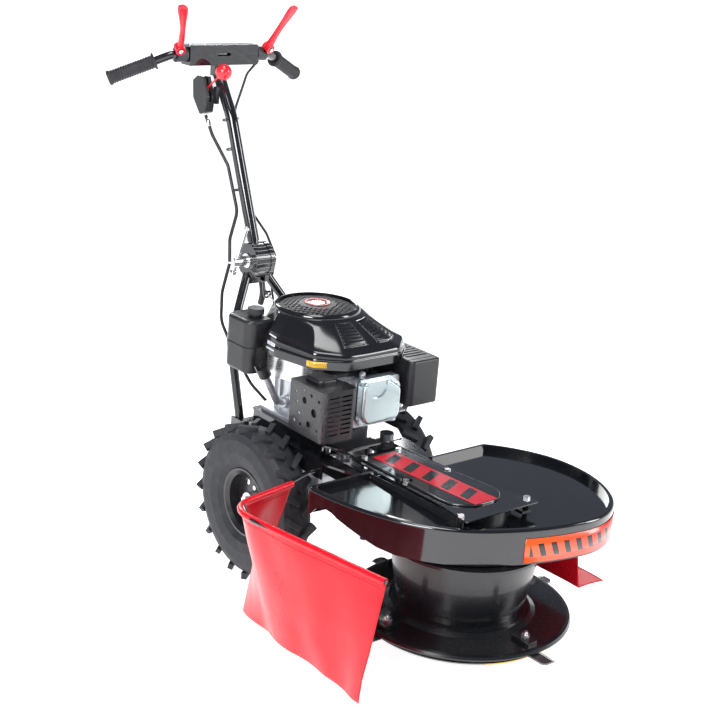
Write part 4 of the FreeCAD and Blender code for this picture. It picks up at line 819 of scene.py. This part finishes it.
def shroud_point(angle, t, lift=0.0):
    """t runs from the lower edge (0) up the side, over the shoulder and on to the dome's rim (1)."""
    k = (angle / (2 * math.pi) * 240) % 240
    near = int(k)
    reach = lerp(REACH[near % 240], REACH[(near + 1) % 240], k - near)
    front = max(0.0, -math.sin(angle)) ** 2
    dome = 103.0
    if t < 0.22:
        r, z = reach + 1.5, lerp(472, 492, t / 0.22)
    elif t < 0.3:
        u = (t - 0.22) / 0.08
        r, z = reach + 1.5 - 3.0 * u, 492 + 3 * u
    elif t < 0.46:
        u = (t - 0.3) / 0.16
        r = reach - 1.5 - 8 * (1 - math.cos(u * math.pi / 2))
        z = 495 + lerp(24, 12, front) * math.sin(u * math.pi / 2)
    else:
        u = (t - 0.46) / 0.54
        start = reach - 9.5
        r = lerp(start, dome, u)
        low = 495 + lerp(24, 12, front)
        ease = u * u * (3 - 2 * u)
        z = lerp(low, 558, lerp(ease, u ** 0.92, front))
    r = max(r, dome)
    return (r + lift * 0.3) * math.cos(angle), ENGINE_Y + (r + lift * 0.3) * math.sin(angle), z + lift


def make_shroud():
    around = 240
    levels = 34
    vertices = []
    faces = []
    for j in range(levels + 1):
        for k in range(around):
            x, y, z = shroud_point(2 * math.pi * k / around, j / levels)
            if j == 0 and x > 88 and y < 494:
                z = 485
            vertices.append(at(x, y, z))
    for radius, z in ((102.0, 563), (99.5, 566.5), (95, 568), (92.6, 567), (92.2, 560), (92.2, 553)):
        for k in range(around):
            a = 2 * math.pi * k / around
            vertices.append(at(radius * math.cos(a), ENGINE_Y + radius * math.sin(a), z))
    for j in range(levels + 6):
        for k in range(around):
            a = j * around + k
            b = j * around + (k + 1) % around
            faces.append((a, b, b + around, a + around))
    piece = mesh_piece("engine_shroud", vertices, faces, SHROUD, "frame")
    solid = piece.modifiers.new("wall", "SOLIDIFY")
    solid.thickness = 0.0022
    solid.offset = -1
    finish_shading(piece, 40)
    return piece


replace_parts(make_shroud(), "engine_cover")


def vent(name, first, last, low, high, count):
    """Louvred window in the shroud's front slope: dark recess, raised rim and fins."""
    steps = 12
    path = [(lerp(first, last, i / steps), low) for i in range(steps)]
    path += [(last, lerp(low, high, i / steps)) for i in range(steps)]
    path += [(lerp(last, first, i / steps), high) for i in range(steps)]
    path += [(first, lerp(high, low, i / steps)) for i in range(steps)]
    middle_a = (first + last) / 2
    middle_t = (low + high) / 2
    vertices = []
    faces = []
    for grow, lift in ((1.0, 0.2), (0.98, 2.2), (0.9, 2.2), (0.88, 0.6)):
        for a, t in path:
            vertices.append(at(*shroud_point(middle_a + (a - middle_a) * grow,
                                             middle_t + (t - middle_t) * grow, lift)))
    n = len(path)
    for j in range(3):
        for k in range(n):
            faces.append((j * n + k, j * n + (k + 1) % n, (j + 1) * n + (k + 1) % n, (j + 1) * n + k))
    rim = mesh_piece(name + "_rim", vertices, faces, SHROUD, "frame")
    solid = rim.modifiers.new("wall", "SOLIDIFY")
    solid.thickness = 0.0008
    vertices = []
    faces = []
    for i in range(13):
        for j in range(13):
            vertices.append(at(*shroud_point(lerp(first, last, 0.06 + 0.88 * i / 12),
                                             lerp(low, high, 0.06 + 0.88 * j / 12), 0.5)))
    for i in range(12):
        for j in range(12):
            a = i * 13 + j
            faces.append((a, a + 1, a + 14, a + 13))
    floor_piece = mesh_piece(name + "_mesh", vertices, faces, GUARD, "frame")
    solid = floor_piece.modifiers.new("wall", "SOLIDIFY")
    solid.thickness = 0.0008
    for i in range(count):
        t = lerp(low, high, (i + 0.8) / (count + 0.6))
        left = [at(*shroud_point(lerp(first, last, 0.08 + 0.84 * k / 8), t, 0.6)) for k in range(9)]
        right_row = [at(*shroud_point(lerp(first, last, 0.08 + 0.84 * k / 8), t + 0.02,
                                      2.6)) for k in range(9)]
        thick_strip("%s_fin_%d" % (name, i), left, right_row, (1, 0.0), 0.0012, SHROUD, "frame", False)


vent("vent_left", math.radians(-108), math.radians(-86), 0.54, 0.93, 7)
vent("vent_right", math.radians(-78), math.radians(-56), 0.54, 0.93, 7)


def shroud_label(name, first, last, low, high, material):
    """Sticker that follows the shroud's side."""
    left = [at(*shroud_point(lerp(first, last, k / 10), low, 0.0)) for k in range(11)]
    right_row = [at(*shroud_point(lerp(first, last, k / 10), high, 0.0)) for k in range(11)]
    thick_strip(name, left, right_row, (1, 0.0005), 0.0004, material, "frame")


shroud_label("white_label", math.radians(-176), math.radians(-164), 0.12, 0.42, PAPER)
shroud_label("caution_label", math.radians(-133), math.radians(-120), 0.05, 0.2, CAUTION)
label("tank_label", [(-108.5, 584.0, 492), (-82, 584.0, 492), (-82, 584.0, 532), (-108.5, 584.0, 532)],
      PAPER, "frame")

# ---- second set of grille bars, crossing the moulded ones
for number in range(-7, 8):
    offset = number * 11.0
    half = math.sqrt(86.0 ** 2 - offset ** 2)
    steps = [-half + 2 * half * i / 20 for i in range(21)]
    slant = math.radians(-55)
    left, right_row = [], []
    for run in steps:
        if run * run + offset * offset < 45 ** 2:
            continue
        for row, edge in ((left, offset - 1.5), (right_row, offset + 1.5)):
            x = run * math.cos(slant) - edge * math.sin(slant)
            y = run * math.sin(slant) + edge * math.cos(slant)
            row.append(at(x, ENGINE_Y + y, 571 - 400 + math.sqrt(400.0 ** 2 - x * x - y * y)))
    split = len(left) // 2 if abs(offset) < 45 else len(left)
    for part, (low, high) in enumerate(((0, split), (split, len(left)))):
        if high - low > 1:
            thick_strip("grille_bar_%d_%d" % (number + 7, part), left[low:high], right_row[low:high],
                        (1, -0.0002), 0.0009,
                        GRILLE, "frame", False)

# ---- yellow line round the skid plate's rim
skid_arc = [math.radians(-118 + 62 * i / 40) for i in range(41)]
thick_strip("skid_line", [at(222.3 * math.cos(a), 222.3 * math.sin(a), 15.4) for a in skid_arc],
            [at(217 * math.cos(a), 217 * math.sin(a), 9.5) for a in skid_arc],
            (-1, 0.0006), 0.0005, YELLOW, "skid")

# -------------------------------------------------------------------- floor
mesh = bpy.data.meshes.new("floor")
mesh.from_pydata([(-30, -30, 0), (30, -30, 0), (30, 30, 0), (-30, 30, 0)], [], [(0, 1, 2, 3)])
floor = bpy.data.objects.new("floor", mesh)
bpy.context.scene.collection.objects.link(floor)
floor_mat, floor_tree, floor_shader = new_material("pale_floor")
floor_coords = object_coords(floor_tree)
floor_tree.links.new(mix(floor_tree, noise_tex(floor_tree, floor_coords, 0.8), (0.87, 0.87, 0.87),
                         (0.9, 0.9, 0.9)),
                     floor_shader.inputs["Base Color"])
floor_shader.inputs["Roughness"].default_value = 0.7
floor.data.materials.append(floor_mat)

ring_points = []
for k in range(96):
    a = 2 * math.pi * k / 96
    ring_points += [(28 * math.cos(a), 28 * math.sin(a), -0.1), (28 * math.cos(a), 28 * math.sin(a), 4.5)]
mesh = bpy.data.meshes.new("backdrop")
mesh.from_pydata(ring_points, [], [(2 * k, 2 * ((k + 1) % 96), 2 * ((k + 1) % 96) + 1,
                                    2 * k + 1) for k in range(96)])
backdrop = bpy.data.objects.new("backdrop", mesh)
bpy.context.scene.collection.objects.link(backdrop)
backdrop.data.materials.append(floor_mat)
floor_shader.inputs["Emission Color"].default_value = (1.0, 1.0, 1.0, 1)
floor_shader.inputs["Emission Strength"].default_value = 0.9

world = bpy.data.worlds.new("studio")
bpy.context.scene.world = world
world.use_nodes = True
world.node_tree.nodes["Background"].inputs[0].default_value = (0.75, 0.82, 1.0, 1)
world.node_tree.nodes["Background"].inputs[1].default_value = 0.22


def area_light(name, place, target, size, power, colour=(1, 1, 1)):
    light = bpy.data.lights.new(name, "AREA")
    light.shape = "RECTANGLE"
    light.size = size[0]
    light.size_y = size[1]
    light.energy = power
    light.color = colour
    lamp = bpy.data.objects.new(name, light)
    lamp.location = place
    lamp.rotation_euler = (Vector(target) - Vector(place)).to_track_quat("-Z", "Y").to_euler()
    bpy.context.scene.collection.objects.link(lamp)


area_light("key", (-2.6, -1.4, 2.4), (0, 0, 0.4), (1.3, 1.3), 95)
area_light("fill", (2.4, -2.2, 1.8), (0, 0, 0.4), (0.9, 1.5), 45)
area_light("rim", (1.2, 2.6, 2.2), (0, 0, 0.5), (2.4, 0.9), 75)
area_light("top", (-0.2, -0.3, 3.2), (0, 0, 0.3), (0.8, 2.2), 35)

# ------------------------------------------------------------------- camera
PITCH = 0.3197
YAW = 0.7069
ROLL = 0.0796
forward_level = Vector((math.sin(YAW), math.cos(YAW), 0))
right = Vector((math.cos(YAW), -math.sin(YAW), 0))
forward = forward_level * math.cos(PITCH) - Vector((0, 0, 1)) * math.sin(PITCH)
above = forward_level * math.sin(PITCH) + Vector((0, 0, 1)) * math.cos(PITCH)
across = right * math.cos(ROLL) + above * math.sin(ROLL)
above = above * math.cos(ROLL) - right * math.sin(ROLL)
across, above, forward = turn(across), turn(above), turn(forward)
camera_data = bpy.data.cameras.new("camera")
camera_data.sensor_width = 36
camera_data.lens = 1482.69 / 726 * 36
camera_data.clip_end = 100
camera = bpy.data.objects.new("camera", camera_data)
place = at(-2092.2, -2063.2, 1541.3)
camera.matrix_world = Matrix(((across.x, above.x, -forward.x, place.x),
                              (across.y, above.y, -forward.y, place.y),
                              (across.z, above.z, -forward.z, place.z), (0, 0, 0, 1)))
bpy.context.scene.collection.objects.link(camera)
bpy.context.scene.camera = camera
bpy.context.scene.view_settings.view_transform = "Standard"
